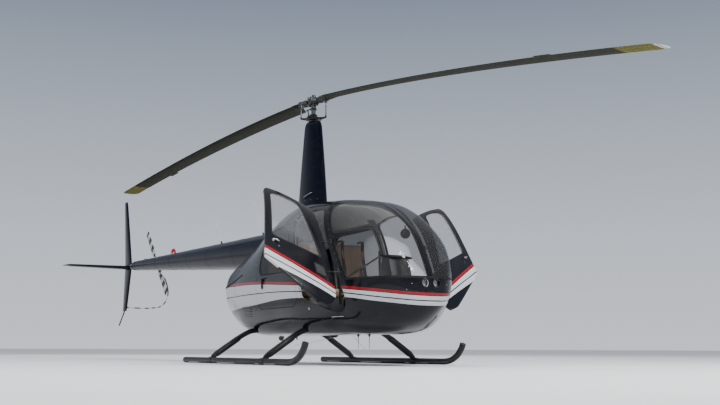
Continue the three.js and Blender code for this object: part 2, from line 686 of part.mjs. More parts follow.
function lamps() {
  const front = OUTER.subtract(bodyForm(0.012));
  for (const [side, sign] of [['starboard', -1], ['port', 1]]) {
    add(`landing_lamp_${side}`, lampForm(sign, 0).intersect(front), 'lamp');
  }
}

function interior() {
  const floor = INNER_CLEAR.intersect(block(FIREWALL_X + 0.005, 2.2, -0.7, 0.7, FLOOR_Z - 0.025, FLOOR_Z));
  add('cabin_floor', floor, 'grey');
  const top = FLOOR_Z + SEAT_GAP;
  for (const [side, sign] of [['starboard', -1], ['port', 1]]) {
    const across = (inner, outer) => (sign < 0 ? [-outer, -inner] : [inner, outer]);
    const shell = sidePrism([[0.40, top], [0.90, top], [0.90, 0.74], [0.45, 0.72], [0.31, 1.40],
      [0.28, 1.40]], ...across(0.09, 0.53));
    add(`front_seat_${side}`, shell, 'grey');
    add(`front_cushion_${side}`, sidePrism([[0.4725, 0.7225], [0.92, 0.7415], [0.92, 0.84], [0.49, 0.83]],
      ...across(0.08, 0.54)), 'tan');
    add(`front_backrest_${side}`, sidePrism([[0.4275, 0.8325], [0.53, 0.8325], [0.405, 1.43], [0.305, 1.43]],
      ...across(0.10, 0.52)), 'tan');
  }
  const inside = bodyForm(SKIN + 0.012);
  const bench = block(-0.36, 0.12, -0.54, 0.54, top, 0.74);
  add('rear_bench', bench.intersect(inside), 'grey');
  add('rear_cushion', block(-0.25, 0.15, -0.55, 0.55, 0.7404, 0.84).intersect(inside), 'tan');
  const rearBack = sidePrism([[-0.36, 0.7404], [-0.2525, 0.7404], [-0.33, 1.38], [-0.405, 1.38]],
    -0.47, 0.47);
  add('rear_backrest', rearBack.intersect(inside), 'tan');
  const console = sidePrism([[1.52, top], [1.86, top], [1.96, 0.80], [1.86, 1.12], [1.74, 1.15],
    [1.60, 0.80]], -0.13, 0.13);
  add('instrument_console', console, 'dark');
  const [barF, barU] = STICK_PIVOT;
  const [reach, rise] = STICK_ARM;
  let stick = bar([[1.20, 0, top + 0.0013], [1.22, 0, 0.80], [barF, 0, barU]], 0.014, 8)
    .add(bar([[barF, -reach, barU - rise], [barF, reach, barU + rise]], 0.012, 8));
  for (const sign of [-1, 1]) {
    const end = barU + sign * rise;
    stick = stick.add(bar([[barF, sign * reach, end + 0.05], [barF, sign * reach, end - 0.24]], 0.015, 8));
  }
  add('cyclic_stick', stick, 'dark');
}

cabin();
windshield();
doors();
engineBay();
mastFairing();
mainRotor();
tail();
tailRotor();
landingGear();
lamps();
interior();

for (const mesh of helicopter.children) {
  mesh.geometry.translate(ORIGIN_SHIFT[0] * 1000, ORIGIN_SHIFT[1] * 1000, ORIGIN_SHIFT[2] * 1000);
}

export default helicopter;
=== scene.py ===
import json
import math

import bpy
from mathutils import Matrix, Vector


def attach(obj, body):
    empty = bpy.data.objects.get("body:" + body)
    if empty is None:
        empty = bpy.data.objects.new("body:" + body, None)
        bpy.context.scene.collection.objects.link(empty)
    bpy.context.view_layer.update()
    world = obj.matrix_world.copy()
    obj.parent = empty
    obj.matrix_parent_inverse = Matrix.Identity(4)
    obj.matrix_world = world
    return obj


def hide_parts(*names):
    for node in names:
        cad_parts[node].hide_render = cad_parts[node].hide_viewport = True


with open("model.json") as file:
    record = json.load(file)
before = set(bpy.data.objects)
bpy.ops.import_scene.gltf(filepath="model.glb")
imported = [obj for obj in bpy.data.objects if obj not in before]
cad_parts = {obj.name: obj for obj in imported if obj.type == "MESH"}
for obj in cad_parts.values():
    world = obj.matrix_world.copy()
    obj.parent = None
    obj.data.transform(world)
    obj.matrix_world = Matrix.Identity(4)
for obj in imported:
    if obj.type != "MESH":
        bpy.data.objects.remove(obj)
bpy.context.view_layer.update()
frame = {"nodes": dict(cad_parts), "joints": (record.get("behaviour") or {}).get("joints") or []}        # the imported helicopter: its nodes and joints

# Facts read from the frame
JOINTS = {joint["name"]: joint for joint in frame["joints"]}
MAST_X, MAST_Y, HUB_Z = JOINTS["main_rotor_spin"]["pos_m"]
TAIL_HUB = Vector(JOINTS["tail_rotor_spin"]["pos_m"])

# Directions
UP, DOWN = (0, 0, 1), (0, 0, -1)
NOSEWARD, TAILWARD = (0, -1, 0), (0, 1, 0)
PORTWARD, STARBOARDWARD = (1, 0, 0), (-1, 0, 0)
SIDES = (("starboard", -1), ("port", 1))

# Driving dimensions
SKIN = 0.030
GLASS = 0.008
SILL_Z = 0.885
FIREWALL_X = -0.42
STRIP_W = 0.045
ROTOR_R = 5.03
ROTOR_CHORD = 0.254
ROTOR_AZIMUTH = 7.3        # degrees that the rotor stands turned at rest
BLADE_DROOP = 0.52         # how far a blade's tip hangs below the hub
TAIL_R = 0.7365
TAIL_CHORD = 0.13
TAIL_ANGLE = math.radians(42)
BOOM_TOP_Z = 1.664
BOOM_FRONT = (-0.74, 0.247)    # station and radius at the boom's ends
BOOM_REAR = (-6.17, 0.079)
SKID_Y = 1.0
SKID_R = 0.036
FRONT_OPEN = {"starboard": 85, "port": 76}
HINGE_FRONT = ((1.300, -0.607, 1.66), (1.715, -0.620, 0.87))
HINGE_REAR = ((0.575, -0.662, 1.55), (0.765, -0.662, 0.90))
WINDSHIELD_FOOT = 1.700
WINDSHIELD_SLOPE = 0.56
FLOOR_Z = 0.495
ON_FLOOR = FLOOR_Z + 0.0006    # just clear of the floor panel
SWASH_TOP = 3.0            # height at which the swashplate's arms meet the pitch links
CROSS_TUBES = {"front": 0.72, "rear": -0.66}      # stations
LAMP = (2.30, 0.066, 0.835)
DOOR_STRIPE_DROP = 0.03    # the front doors' stripes lie this much lower than the body's
YELLOW_FROM, PALE_FROM = 4.60, 4.985       # distances from the mast where a main blade's colours change
BLADE_TIP, TAIL_BLADE_TIP = 4.92, 0.705    # distances from the hub where a blade's tip starts

# Body sections: forward station, half width, belly, crown, height of greatest width,
# and the roundness of the upper and lower part (2 is an ellipse, more is boxier)
BODY = (
    (2.450, 0.015, 0.755, 0.785, 0.770, 2.8, 2.2),
    (2.440, 0.110, 0.690, 0.860, 0.770, 2.8, 2.2),
    (2.420, 0.190, 0.630, 0.925, 0.780, 2.8, 2.2),
    (2.380, 0.265, 0.565, 1.020, 0.800, 2.8, 2.1),
    (2.320, 0.335, 0.505, 1.130, 0.830, 2.8, 2.0),
    (2.240, 0.405, 0.450, 1.285, 0.860, 2.8, 2.0),
    (2.120, 0.475, 0.400, 1.420, 0.900, 2.8, 2.4),
    (1.930, 0.540, 0.353, 1.563, 0.930, 2.8, 3.3),
    (1.700, 0.585, 0.330, 1.693, 0.950, 3.0, 4.0),
    (1.430, 0.615, 0.330, 1.785, 0.950, 3.4, 4.0),
    (1.100, 0.635, 0.330, 1.820, 0.950, 3.8, 4.0),
    (0.700, 0.645, 0.330, 1.850, 0.950, 3.8, 4.0),
    (0.200, 0.610, 0.330, 1.870, 0.950, 2.9, 4.0),
    (-0.300, 0.575, 0.330, 1.820, 0.945, 2.1, 4.0),
    (-0.700, 0.533, 0.327, 1.730, 0.940, 1.7, 3.7),
    (-1.000, 0.493, 0.343, 1.628, 0.930, 1.6, 3.2),
    (-1.250, 0.450, 0.373, 1.500, 0.920, 1.7, 2.6),
    (-1.450, 0.420, 0.418, 1.368, 0.915, 2.0, 2.2),
    (-1.600, 0.393, 0.489, 1.237, 0.910, 2.5, 1.9),
    (-1.690, 0.310, 0.585, 1.105, 0.885, 2.6, 2.1),
    (-1.730, 0.150, 0.700, 0.970, 0.840, 2.5, 2.2),
    (-1.740, 0.020, 0.820, 0.860, 0.840, 2.8, 2.3),
)
AROUND = 96                # points round each body section
STEPS = 4                  # rings in each interval of the table
INSIDE = (-1.70, 2.40)     # stations between which the body has room inside

# Door and window outlines in side view (forward, up), with a corner radius for each point
FRONT_DOOR = ((1.190, 1.670, 0.10), (1.653, 0.834, 0.30), (1.715, 0.700, 0.10), (1.715, 0.620, 0.08),
              (1.660, 0.560, 0.08), (1.550, 0.550, 0.20), (1.175, 0.660, 0.60), (0.890, 0.740, 0.05),
              (0.872, 0.762, 0.03), (0.616, 1.632, 0.06), (0.840, 1.672, 0.30), (1.020, 1.682, 0.30))
FRONT_WINDOW = ((1.020, 1.640, 0.12), (1.212, 1.360, 0.60), (1.385, 1.120, 0.60), (1.440, 1.045, 0.05),
                (0.868, 1.030, 0.06), (0.690, 1.582, 0.08), (0.835, 1.628, 0.30))
REAR_DOOR = ((0.535, 1.650, 0.08), (0.795, 0.770, 0.10), (0.785, 0.690, 0.06), (0.720, 0.640, 0.06),
             (-0.200, 0.640, 0.10), (-0.300, 0.700, 0.20), (-0.345, 0.860, 0.30), (-0.345, 1.350, 0.30),
             (-0.230, 1.600, 0.12))
REAR_WINDOW = ((0.490, 1.605, 0.08), (0.665, 1.040, 0.06), (-0.220, 1.040, 0.07), (-0.285, 1.110, 0.10),
               (-0.285, 1.335, 0.20), (-0.190, 1.560, 0.14))
DOORS = (("front", FRONT_DOOR, FRONT_WINDOW), ("rear", REAR_DOOR, REAR_WINDOW))
DOOR_GAP = 0.006
CUT = 0.001                # how far a panel is cut back where it meets the next one
STARBOARD_HALF = (-0.9, -0.2)      # ports that a cut through one side or both runs between
BOTH_HALVES = (-0.9, 0.9)


def place(forward, port, up):
    """A point of the tables in the frame's metres."""
    return Vector((MAST_X + port, MAST_Y - forward, up))


def path(*points):
    return [place(*point) for point in points]


# Modelling helpers

def deselect():
    if bpy.context.mode != "OBJECT":
        bpy.ops.object.mode_set(mode="OBJECT")
    bpy.ops.object.select_all(action="DESELECT")


def hold(*pieces):
    """Selects just these pieces, the first one active."""
    deselect()
    for piece in pieces:
        piece.select_set(True)
    bpy.context.view_layer.objects.active = pieces[0]


def named(piece, name):
    piece.name = piece.data.name = name
    return piece


def fresh(name):
    return named(bpy.context.active_object, name)


def settled(piece):
    """The place goes into the mesh, so that the object sits at the origin."""
    hold(piece)
    bpy.ops.object.transform_apply(location=True, rotation=True, scale=True)


def modified(piece, kind, **settings):
    hold(piece)
    modifier = piece.modifiers.new(kind.title(), kind)
    for key, value in settings.items():
        setattr(modifier, key, value)
    bpy.ops.object.modifier_apply(modifier=modifier.name)
    return piece


def bevelled(piece, width, segments=2, angle=35):
    return modified(piece, "BEVEL", width=width, segments=segments, limit_method="ANGLE",
                    angle_limit=math.radians(angle))


def smooth(piece, angle=35):
    hold(piece)
    bpy.ops.object.shade_smooth_by_angle(angle=math.radians(angle))
    return piece


def copied(piece, name):
    twin = piece.copy()
    twin.data = piece.data.copy()
    named(twin, name)
    bpy.context.scene.collection.objects.link(twin)
    return twin


def joined(name, pieces):
    hold(*pieces)
    if len(pieces) > 1:
        bpy.ops.object.join()
    return fresh(name)


def start_edit():
    bpy.ops.object.mode_set(mode="EDIT")
    bpy.ops.mesh.select_all(action="SELECT")


def end_edit():
    """Turns all faces outward and leaves edit mode."""
    bpy.ops.mesh.select_all(action="SELECT")
    bpy.ops.mesh.normals_make_consistent(inside=False)
    bpy.ops.object.mode_set(mode="OBJECT")


def wrapped(name, rings):
    """A grid wrapped round the sections in rings, its seam merged and its ends closed."""
    around = len(rings[0])
    deselect()
    bpy.ops.mesh.primitive_grid_add(x_subdivisions=around, y_subdivisions=len(rings) - 1, size=1)
    piece = fresh(name)
    vertices = piece.data.vertices
    for r, ring in enumerate(rings):
        for i in range(around + 1):
            vertices[r * (around + 1) + i].co = ring[i % around]
    start_edit()
    bpy.ops.mesh.remove_doubles(threshold=1e-5)
    bpy.ops.mesh.select_all(action="DESELECT")
    bpy.ops.mesh.select_non_manifold()
    bpy.ops.mesh.fill_holes(sides=0)
    end_edit()
    return piece


def heading(points, i):
    """Direction of a line of points at its point i."""
    return (points[min(i + 1, len(points) - 1)] - points[max(i - 1, 0)]).normalized()


def swept(name, points, radius, sides=16):
    """A round tube along points, its radius one number or one for each point."""
    radii = radius if isinstance(radius, (list, tuple)) else [radius] * len(points)
    rings = []
    side = None
    for i, point in enumerate(points):
        along = heading(points, i)
        if side is None:
            start = Vector(UP) if abs(along.z) < 0.9 else Vector(PORTWARD)
            side = start.cross(along).normalized()
        else:
            side = (side - along * side.dot(along)).normalized()
        up = along.cross(side)
        rings.append([
            point + (side * math.cos(t) + up * math.sin(t)) * radii[i]
            for t in (2 * math.pi * (k + 0.5) / sides for k in range(sides))
        ])
    return smooth(wrapped(name, rings), 40)


def curved(points, steps=6):
    """Points of a smooth curve through the given ones."""
    out = []
    for i in range(len(points) - 1):
        a = points[max(i - 1, 0)]
        b, c = points[i], points[i + 1]
        d = points[min(i + 2, len(points) - 1)]
        for k in range(steps):
            t = k / steps
            out.append(0.5 * ((2 * b) + (c - a) * t + (2 * a - 5 * b + 4 * c - d) * t * t
                              + (3 * b - a - 3 * c + d) * t * t * t))
    out.append(points[-1])
    return out


def stacked(name, base, toward, steps, sides=32, rim=0.0):
    """A turned part: a disc extruded step by step, each step (distance, radius) along toward."""
    deselect()
    reached, radius = steps[0]
    bpy.ops.mesh.primitive_circle_add(vertices=sides, radius=radius, fill_type="NGON",
                                      location=(0, 0, reached))
    piece = fresh(name)
    bpy.ops.object.transform_apply(location=True, rotation=False, scale=False)
    start_edit()
    for distance, wide in steps[1:]:
        bpy.ops.mesh.extrude_region_move(TRANSFORM_OT_translate={"value": (0, 0, distance - reached)})
        bpy.ops.transform.resize(value=(wide / radius, wide / radius, 1))
        reached, radius = distance, wide
    end_edit()
    turn = Vector(UP).rotation_difference(Vector(toward).normalized())
    piece.matrix_world = Matrix.Translation(base) @ turn.to_matrix().to_4x4()
    settled(piece)
    if rim > 0:
        bevelled(piece, rim)
    return smooth(piece)


def cylinder(name, base, toward, radius, length, sides=32, rim=0.0):
    return stacked(name, base, toward, ((0, radius), (length, radius)), sides, rim)


def blocked(name, low, high, rim=0.004, segments=2):
    """A box between two corners with its edges eased."""
    deselect()
    low, high = Vector(low), Vector(high)
    bpy.ops.mesh.primitive_cube_add(size=1, location=(low + high) / 2)
    piece = fresh(name)
    piece.scale = high - low
    settled(piece)
    if rim > 0:
        bevelled(piece, rim, segments)
    return smooth(piece)


def box_at(name, forward, port, up, rim=0.004, segments=2):
    """A box from ranges of forward, port and up."""
    a, b = path(*zip(forward, port, up))
    return blocked(name, list(map(min, a, b)), list(map(max, a, b)), rim, segments)


def rounded(outline, grow=0.0, arc=6):
    """Outline points (forward, up) with each corner turned on its radius, grown outward."""
    count = len(outline)
    area = sum(outline[i][0] * outline[(i + 1) % count][1] - outline[(i + 1) % count][0] * outline[i][1]
               for i in range(count))
    side = 1 if area > 0 else -1
    out = []
    for i in range(count):
        before, here, after = (Vector(outline[(i + k) % count][:2]) for k in (-1, 0, 1))
        d1, d2 = (here - before).normalized(), (after - here).normalized()
        n1, n2 = Vector((d1.y, -d1.x)) * side, Vector((d2.y, -d2.x)) * side
        middle = (n1 + n2).normalized()
        corner = here + middle * (grow / max(middle.dot(n1), 0.5))
        turn = d1.angle(d2, 0.0)
        reach = min(outline[i][2] * math.tan(turn / 2), (here - before).length * 0.45,
                    (after - here).length * 0.45)
        start, end = corner - d1 * reach, corner + d2 * reach
        for k in range(arc + 1):
            t = k / arc
            out.append((1 - t) ** 2 * start + 2 * t * (1 - t) * corner + t * t * end)
    return out


def plate(name, outline, port0, port1):
    """A side-view outline of plain points drawn out across the helicopter."""
    deselect()
    bpy.ops.mesh.primitive_circle_add(vertices=len(outline), radius=1, fill_type="NGON")
    piece = fresh(name)
    for vertex, (forward, up) in zip(piece.data.vertices, outline):
        vertex.co = place(forward, port0, up)
    start_edit()
    bpy.ops.mesh.extrude_region_move(TRANSFORM_OT_translate={"value": (port1 - port0, 0, 0)})
    end_edit()
    return piece


def through(outline, grow, ports=BOTH_HALVES):
    """A cutting form: the rounded outline drawn out across the body."""
    return plate("tool", rounded(outline, grow), *ports)


def between(low, high):
    """A cutting form: everything between two heights."""
    return box_at("tool", (-3, 3), (-2, 2), (low, high), 0)


def within(forward, port=(-1, 1)):
    """A cutting form: everything between two stations and two ports."""
    return box_at("tool", forward, port, (0, 3), 0)


def carved(piece, tool, operation="DIFFERENCE"):
    modified(piece, "BOOLEAN", operation=operation, solver="EXACT", object=tool)
    bpy.data.objects.remove(tool, do_unlink=True)
    return piece


def kept(piece, tool):
    """What of a piece lies inside the tool."""
    return carved(piece, tool, "INTERSECT")


def mirrored(piece, name):
    """The same part on the port side."""
    twin = copied(piece, name)
    twin.data.transform(Matrix.Translation((2 * MAST_X, 0, 0)) @ Matrix.Diagonal((-1, 1, 1, 1)))
    twin.data.flip_normals()
    return twin


def turned(piece, line, degrees):
    """Turns a finished mesh about a line through two table points."""
    start, end = path(*line)
    spin = Matrix.Rotation(math.radians(degrees), 4, (end - start).normalized())
    piece.data.transform(Matrix.Translation(start) @ spin @ Matrix.Translation(-start))


def note_body_place(piece, drop=0.0):
    """Keeps each point's place with the doors shut, which the stripes are drawn on."""
    attribute = piece.data.attributes.new("body_place", "FLOAT_VECTOR", "POINT")
    for i, vertex in enumerate(piece.data.vertices):
        attribute.data[i].vector = (MAST_Y - vertex.co.y, vertex.co.x - MAST_X, vertex.co.z + drop)


def note_run(piece, run):
    """Keeps the distance that run gives for each point, which bands are drawn on."""
    attribute = piece.data.attributes.new("run", "FLOAT", "POINT")
    for i, vertex in enumerate(piece.data.vertices):
        attribute.data[i].value = run(vertex.co)


def put(piece, material, slot, *nodes, body="airframe"):
    """Gives a finished piece its material and its place on the frame."""
    piece.data.materials.clear()
    piece.data.materials.append(material)
    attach(piece, body)
    if nodes:
        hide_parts(*nodes)


# Materials

def grey(value):
    return (value, value, value)


class Finish:
    """A node material being made, with short ways to add what it needs."""

    def __init__(self, name, colour, roughness, metallic=0.0, **sockets):
        self.material = bpy.data.materials.new(name)
        self.material.use_nodes = True
        self.nodes = self.material.node_tree.nodes
        self.link = self.material.node_tree.links.new
        self.shader = self.nodes["Principled BSDF"]
        self.shader.inputs["Base Color"].default_value = (*colour, 1)
        self.shader.inputs["Roughness"].default_value = roughness
        self.shader.inputs["Metallic"].default_value = metallic
        for key, value in sockets.items():
            self.shader.inputs[key.replace("_", " ")].default_value = value
        self.place = self.nodes.new("ShaderNodeTexCoord").outputs["Object"]

    def node(self, kind, **settings):
        made = self.nodes.new(kind)
        for key, value in settings.items():
            setattr(made, key, value)
        return made

    def feed(self, socket, value):
        """A number, a colour or another node's output goes into a socket."""
        if isinstance(value, tuple):
            socket.default_value = (*value, 1)
        elif isinstance(value, (int, float)):
            socket.default_value = value
        else:
            self.link(value, socket)

    def noise(self, scale, detail, stretch=(1, 1, 1)):
        mapping = self.node("ShaderNodeMapping")
        mapping.inputs["Scale"].default_value = stretch
        self.link(self.place, mapping.inputs["Vector"])
        return self.texture("ShaderNodeTexNoise", "Fac", mapping.outputs[0], Scale=scale, Detail=detail)

    def texture(self, kind, output, place, settings=(), **sockets):
        made = self.node(kind, **dict(settings))
        for key, value in sockets.items():
            made.inputs[key].default_value = value
        self.link(place, made.inputs["Vector"])
        return made.outputs[output]

    def attribute(self, name, output):
        return self.node("ShaderNodeAttribute", attribute_name=name).outputs[output]

    def axes(self, vector):
        split = self.node("ShaderNodeSeparateXYZ")
        self.link(vector, split.inputs[0])
        return split.outputs

    def range(self, value, low, high, to_low, to_high):
        made = self.node("ShaderNodeMapRange")
        for i, number in enumerate((low, high, to_low, to_high)):
            made.inputs[i + 1].default_value = number
        self.link(value, made.inputs[0])
        return made.outputs[0]

    def maths(self, operation, a, b=0.0):
        made = self.node("ShaderNodeMath", operation=operation)
        for socket, value in zip(made.inputs, (a, b)):
            self.feed(socket, value)
        return made.outputs[0]

    def mix(self, share, a, b):
        made = self.node("ShaderNodeMix", data_type="RGBA")
        for i, value in ((0, share), (6, a), (7, b)):
            self.feed(made.inputs[i], value)
        return made.outputs[2]

    def blend(self, value, low, high, first, second):
        """From one colour to the other as a value goes from low to high."""
        return self.mix(self.range(value, low, high, 0.0, 1.0), first, second)

    def bump(self, height, strength, distance):
        made = self.node("ShaderNodeBump")
        made.inputs["Strength"].default_value = strength
        made.inputs["Distance"].default_value = distance
        self.link(height, made.inputs["Height"])
        self.link(made.outputs[0], self.shader.inputs["Normal"])

    def colour(self, socket):
        self.link(socket, self.shader.inputs["Base Color"])

    def roughness(self, socket):
        self.link(socket, self.shader.inputs["Roughness"])


# Stripe lines on the body's sides: the height of each at the stations
STRIPE_STATIONS = (-1.75, -1.34, -0.40, 0.36, 0.94, 1.72, 2.10, 2.45)
RED_LINE = (0.985, 0.983, 0.961, 0.918, 0.880, 0.808, 0.768, 0.720)
THIN_LINE = (0.827, 0.827, 0.828, 0.818, 0.794, 0.747, 0.700, 0.650)
LOW_LINE = (0.640, 0.660, 0.695, 0.732, 0.727, 0.704, 0.655, 0.600)
RED_HALF = 0.0125
GAP_BELOW_RED = 0.0215
THIN_HALF = 0.006
CURVE_BASE = 0.4           # curve nodes hold heights from 0 to 1 above this one


def line_height(f, share, heights):
    """Height of a stripe line, with share going from 0 at the first station to 1 at the last."""
    curve = f.node("ShaderNodeFloatCurve")
    points = curve.mapping.curves[0].points
    first, last = STRIPE_STATIONS[0], STRIPE_STATIONS[-1]
    for i, (station, height) in enumerate(zip(STRIPE_STATIONS, heights)):
        spot = ((station - first) / (last - first), height - CURVE_BASE)
        if 0 < i < len(heights) - 1:
            points.new(*spot)
        else:
            points[0 if i == 0 else -1].location = spot
    curve.mapping.update()
    f.link(share, curve.inputs["Value"])
    return f.maths("ADD", curve.outputs[0], CURVE_BASE)


def body_paint():
    """Gloss black body paint with the side stripes: red, two white bands and a thin black line."""
    f = Finish("body_paint", (0.004, 0.0045, 0.007), 0.14, Coat_Weight=0.12, Coat_Roughness=0.05,
               Specular_IOR_Level=0.17)
    black = f.blend(f.noise(9.0, 5.0), 0.4, 0.75, (0.0035, 0.004, 0.007), (0.008, 0.008, 0.010))
    forward, _, up = f.axes(f.attribute("body_place", "Vector"))
    share = f.range(forward, STRIPE_STATIONS[0], STRIPE_STATIONS[-1], 0.0, 1.0)
    red, thin, low = (line_height(f, share, line) for line in (RED_LINE, THIN_LINE, LOW_LINE))
    below_red = f.maths("SUBTRACT", red, up)
    above_low = f.maths("SUBTRACT", up, low)
    from_thin = f.maths("ABSOLUTE", f.maths("SUBTRACT", up, thin))
    on_red = f.maths("LESS_THAN", f.maths("ABSOLUTE", below_red), RED_HALF)
    band = f.maths("MULTIPLY", f.maths("GREATER_THAN", below_red, GAP_BELOW_RED),
                   f.maths("GREATER_THAN", above_low, 0.0))
    band = f.maths("MULTIPLY", band, f.maths("GREATER_THAN", from_thin, THIN_HALF))
    f.colour(f.mix(on_red, f.mix(band, black, (0.46, 0.47, 0.49)), (0.25, 0.006, 0.012)))
    f.bump(f.noise(160.0, 2.0), 0.02, 0.001)
    return f.material


def navy_paint():
    f = Finish("navy_paint", (0.0025, 0.0035, 0.009), 0.2, Coat_Weight=0.04, Coat_Roughness=0.06,
               Specular_IOR_Level=0.12)
    streaks = f.noise(6.0, 6.0, (3, 0.4, 3))
    f.colour(f.blend(streaks, 0.45, 0.8, (0.002, 0.003, 0.009), (0.005, 0.006, 0.012)))
    f.roughness(f.range(f.noise(14.0, 4.0), 0.3, 0.7, 0.16, 0.26))
    f.bump(f.noise(90.0, 2.0), 0.004, 0.001)
    return f.material


def glazing_finish(name, tint, clear, edge):
    """Acrylic glazing: nearly clear face on, and more mirror-like at a low angle."""
    f = Finish(name, tint, 0.03, IOR=1.45, Specular_IOR_Level=0.45)
    rim = f.node("ShaderNodeFresnel")
    rim.inputs["IOR"].default_value = 1.5
    f.link(f.range(rim.outputs[0], 0.02, 0.7, clear, edge), f.shader.inputs["Alpha"])
    f.roughness(f.range(f.noise(30.0, 4.0), 0.4, 0.8, 0.015, 0.05))
    return f.material


def grained(name, colour, dark, roughness, scale=300.0, depth=0.0006, metallic=0.0, shine=0.5):
    """A moulded or painted finish with a fine grain and worn patches."""
    f = Finish(name, colour, roughness, metallic, Specular_IOR_Level=shine)
    f.colour(f.blend(f.noise(12.0, 5.0), 0.35, 0.7, colour, dark))
    f.roughness(f.range(f.noise(25.0, 3.0), 0.3, 0.7, max(roughness - 0.06, 0.02), roughness + 0.08))
    f.bump(f.noise(scale, 2.0), 0.25, depth)
    return f.material


def bare_metal(name, colour, roughness):
    f = Finish(name, colour, roughness, 1.0)
    brushed = f.noise(60.0, 4.0)
    f.roughness(f.range(brushed, 0.3, 0.7, roughness - 0.06, roughness + 0.12))
    f.colour(f.blend(f.noise(18.0, 4.0), 0.4, 0.8, colour, tuple(c * 0.7 for c in colour)))
    f.bump(brushed, 0.08, 0.0005)
    return f.material


def leather():
    """Tan leather with a pebbled grain and slightly darker creases."""
    f = Finish("tan_leather", (0.34, 0.24, 0.165), 0.5, Specular_IOR_Level=0.35)
    grain = f.texture("ShaderNodeTexVoronoi", "Distance", f.place, Scale=260.0)
    f.colour(f.blend(f.noise(7.0, 5.0), 0.35, 0.7, (0.36, 0.255, 0.175), (0.24, 0.165, 0.11)))
    f.roughness(f.range(grain, 0.0, 0.6, 0.42, 0.6))
    f.bump(grain, 0.35, 0.0008)
    return f.material


def banded(name, first, second, width, offset=0.0):
    """Two colours in bands along the piece's own run."""
    f = Finish(name, first, 0.35)
    run = f.attribute("run", "Fac")
    wave = f.maths("FRACT", f.maths("DIVIDE", f.maths("ADD", run, offset), width * 2))
    grime = f.range(f.noise(22.0, 4.0), 0.4, 0.8, 0.0, 0.35)
    f.colour(f.mix(grime, f.mix(f.maths("GREATER_THAN", wave, 0.5), first, second), (0.05, 0.05, 0.045)))
    f.bump(f.noise(120.0, 2.0), 0.05, 0.001)
    return f.material


def blade_paint():
    """Dark olive blade paint, scuffed along its length, with a dull yellow tip and a pale end."""
    f = Finish("blade_paint", (0.010, 0.010, 0.008), 0.6, Specular_IOR_Level=0.08)
    run = f.attribute("run", "Fac")
    scuffs = f.noise(30.0, 5.0, (1, 0.15, 1))
    base = f.blend(scuffs, 0.4, 0.75, (0.010, 0.010, 0.005), (0.022, 0.021, 0.009))
    tip = f.blend(scuffs, 0.35, 0.75, (0.115, 0.105, 0.016), (0.075, 0.070, 0.014))
    colour = f.mix(f.maths("GREATER_THAN", run, YELLOW_FROM), base, tip)
    f.colour(f.mix(f.maths("GREATER_THAN", run, PALE_FROM), colour, (0.36, 0.36, 0.34)))
    f.roughness(f.range(scuffs, 0.3, 0.7, 0.52, 0.66))
    f.bump(scuffs, 0.04, 0.0006)
    return f.material


def ribs(f, direction, scale, strength):
    waves = f.texture("ShaderNodeTexWave", "Fac", f.place, {"bands_direction": direction}, Scale=scale)
    f.bump(waves, strength, 0.001)


def lamp_glass():
    f = Finish("lamp_glass", (0.9, 0.92, 0.93), 0.03, IOR=1.45, Alpha=0.25)
    ribs(f, "X", 60.0, 0.3)
    return f.material


def ribbed_glass(name, colour):
    f = Finish(name, colour, 0.3, Specular_IOR_Level=0.2)
    f.colour(f.blend(f.noise(20.0, 3.0), 0.3, 0.7, colour, tuple(c * 0.75 for c in colour)))
    ribs(f, "Z", 55.0, 0.4)
    return f.material


BAND_BLACK = grey(0.012)
PAINT = body_paint()
NAVY = navy_paint()
WINDSHIELD_GLASS = glazing_finish("smoked_windshield", (0.030, 0.032, 0.034), 0.065, 0.62)
DOOR_GLASS = {"front": glazing_finish("clear_door_glass", (0.16, 0.17, 0.18), 0.035, 0.50),
              "rear": glazing_finish("rear_door_glass", (0.030, 0.032, 0.034), 0.085, 0.62)}
RUBBER = grained("black_rubber", grey(0.008), grey(0.015), 0.62, shine=0.15)
PLASTIC = grained("cabin_plastic", (0.030, 0.030, 0.032), (0.020, 0.020, 0.021), 0.5, 420.0)
LINING = grained("grey_lining", (0.15, 0.15, 0.155), (0.11, 0.11, 0.115), 0.8, 380.0)
HEADLINING = grained("headlining", grey(0.56), grey(0.46), 0.85, 380.0)
CARPET = grained("floor_carpet", (0.055, 0.055, 0.06), (0.035, 0.035, 0.04), 0.95, 700.0, 0.002)
STEEL = bare_metal("machined_steel", (0.42, 0.42, 0.43), 0.32)
REFLECTOR = bare_metal("lamp_reflector", (0.26, 0.26, 0.27), 0.16)
DARK_STEEL = bare_metal("oiled_steel", (0.15, 0.15, 0.155), 0.40)
ALUMINIUM = bare_metal("aluminium", (0.58, 0.59, 0.60), 0.34)
CAST = grained("engine_casting", grey(0.10), grey(0.05), 0.55, 90.0, 0.002, 0.6)
HUB_PAINT = grained("hub_paint", (0.016, 0.016, 0.017), (0.032, 0.031, 0.030), 0.42, 200.0, 0.0005, 0.2)
GEAR_PAINT = grained("gear_paint", (0.007, 0.007, 0.008), (0.020, 0.019, 0.018), 0.36, 120.0, shine=0.3)
LEATHER = leather()
BLADE = blade_paint()
TAIL_BANDS = banded("tail_blade_bands", (0.62, 0.62, 0.60), BAND_BLACK, 0.095)
GUARD_BANDS = banded("guard_bands", (0.60, 0.60, 0.58), BAND_BLACK, 0.11, 0.13)
WEBBING = grained("belt_webbing", (0.015, 0.015, 0.016), grey(0.030), 0.8, 900.0, 0.001)
SCOOP_MESH = grained("scoop_mesh", grey(0.006), grey(0.012), 0.7, 500.0, 0.003)
WHITE_PAINT = grained("white_paint", (0.62, 0.63, 0.63), (0.45, 0.45, 0.44), 0.35, 160.0)
LAMP_GLASS = lamp_glass()
RED_GLASS = ribbed_glass("red_glass", (0.34, 0.008, 0.010))
PAINT_TRIM = grained("black_trim_paint", (0.006, 0.007, 0.010), (0.014, 0.014, 0.015), 0.2, 160.0, shine=0.35)
FIREWALL = bare_metal("firewall_sheet", grey(0.34), 0.42)
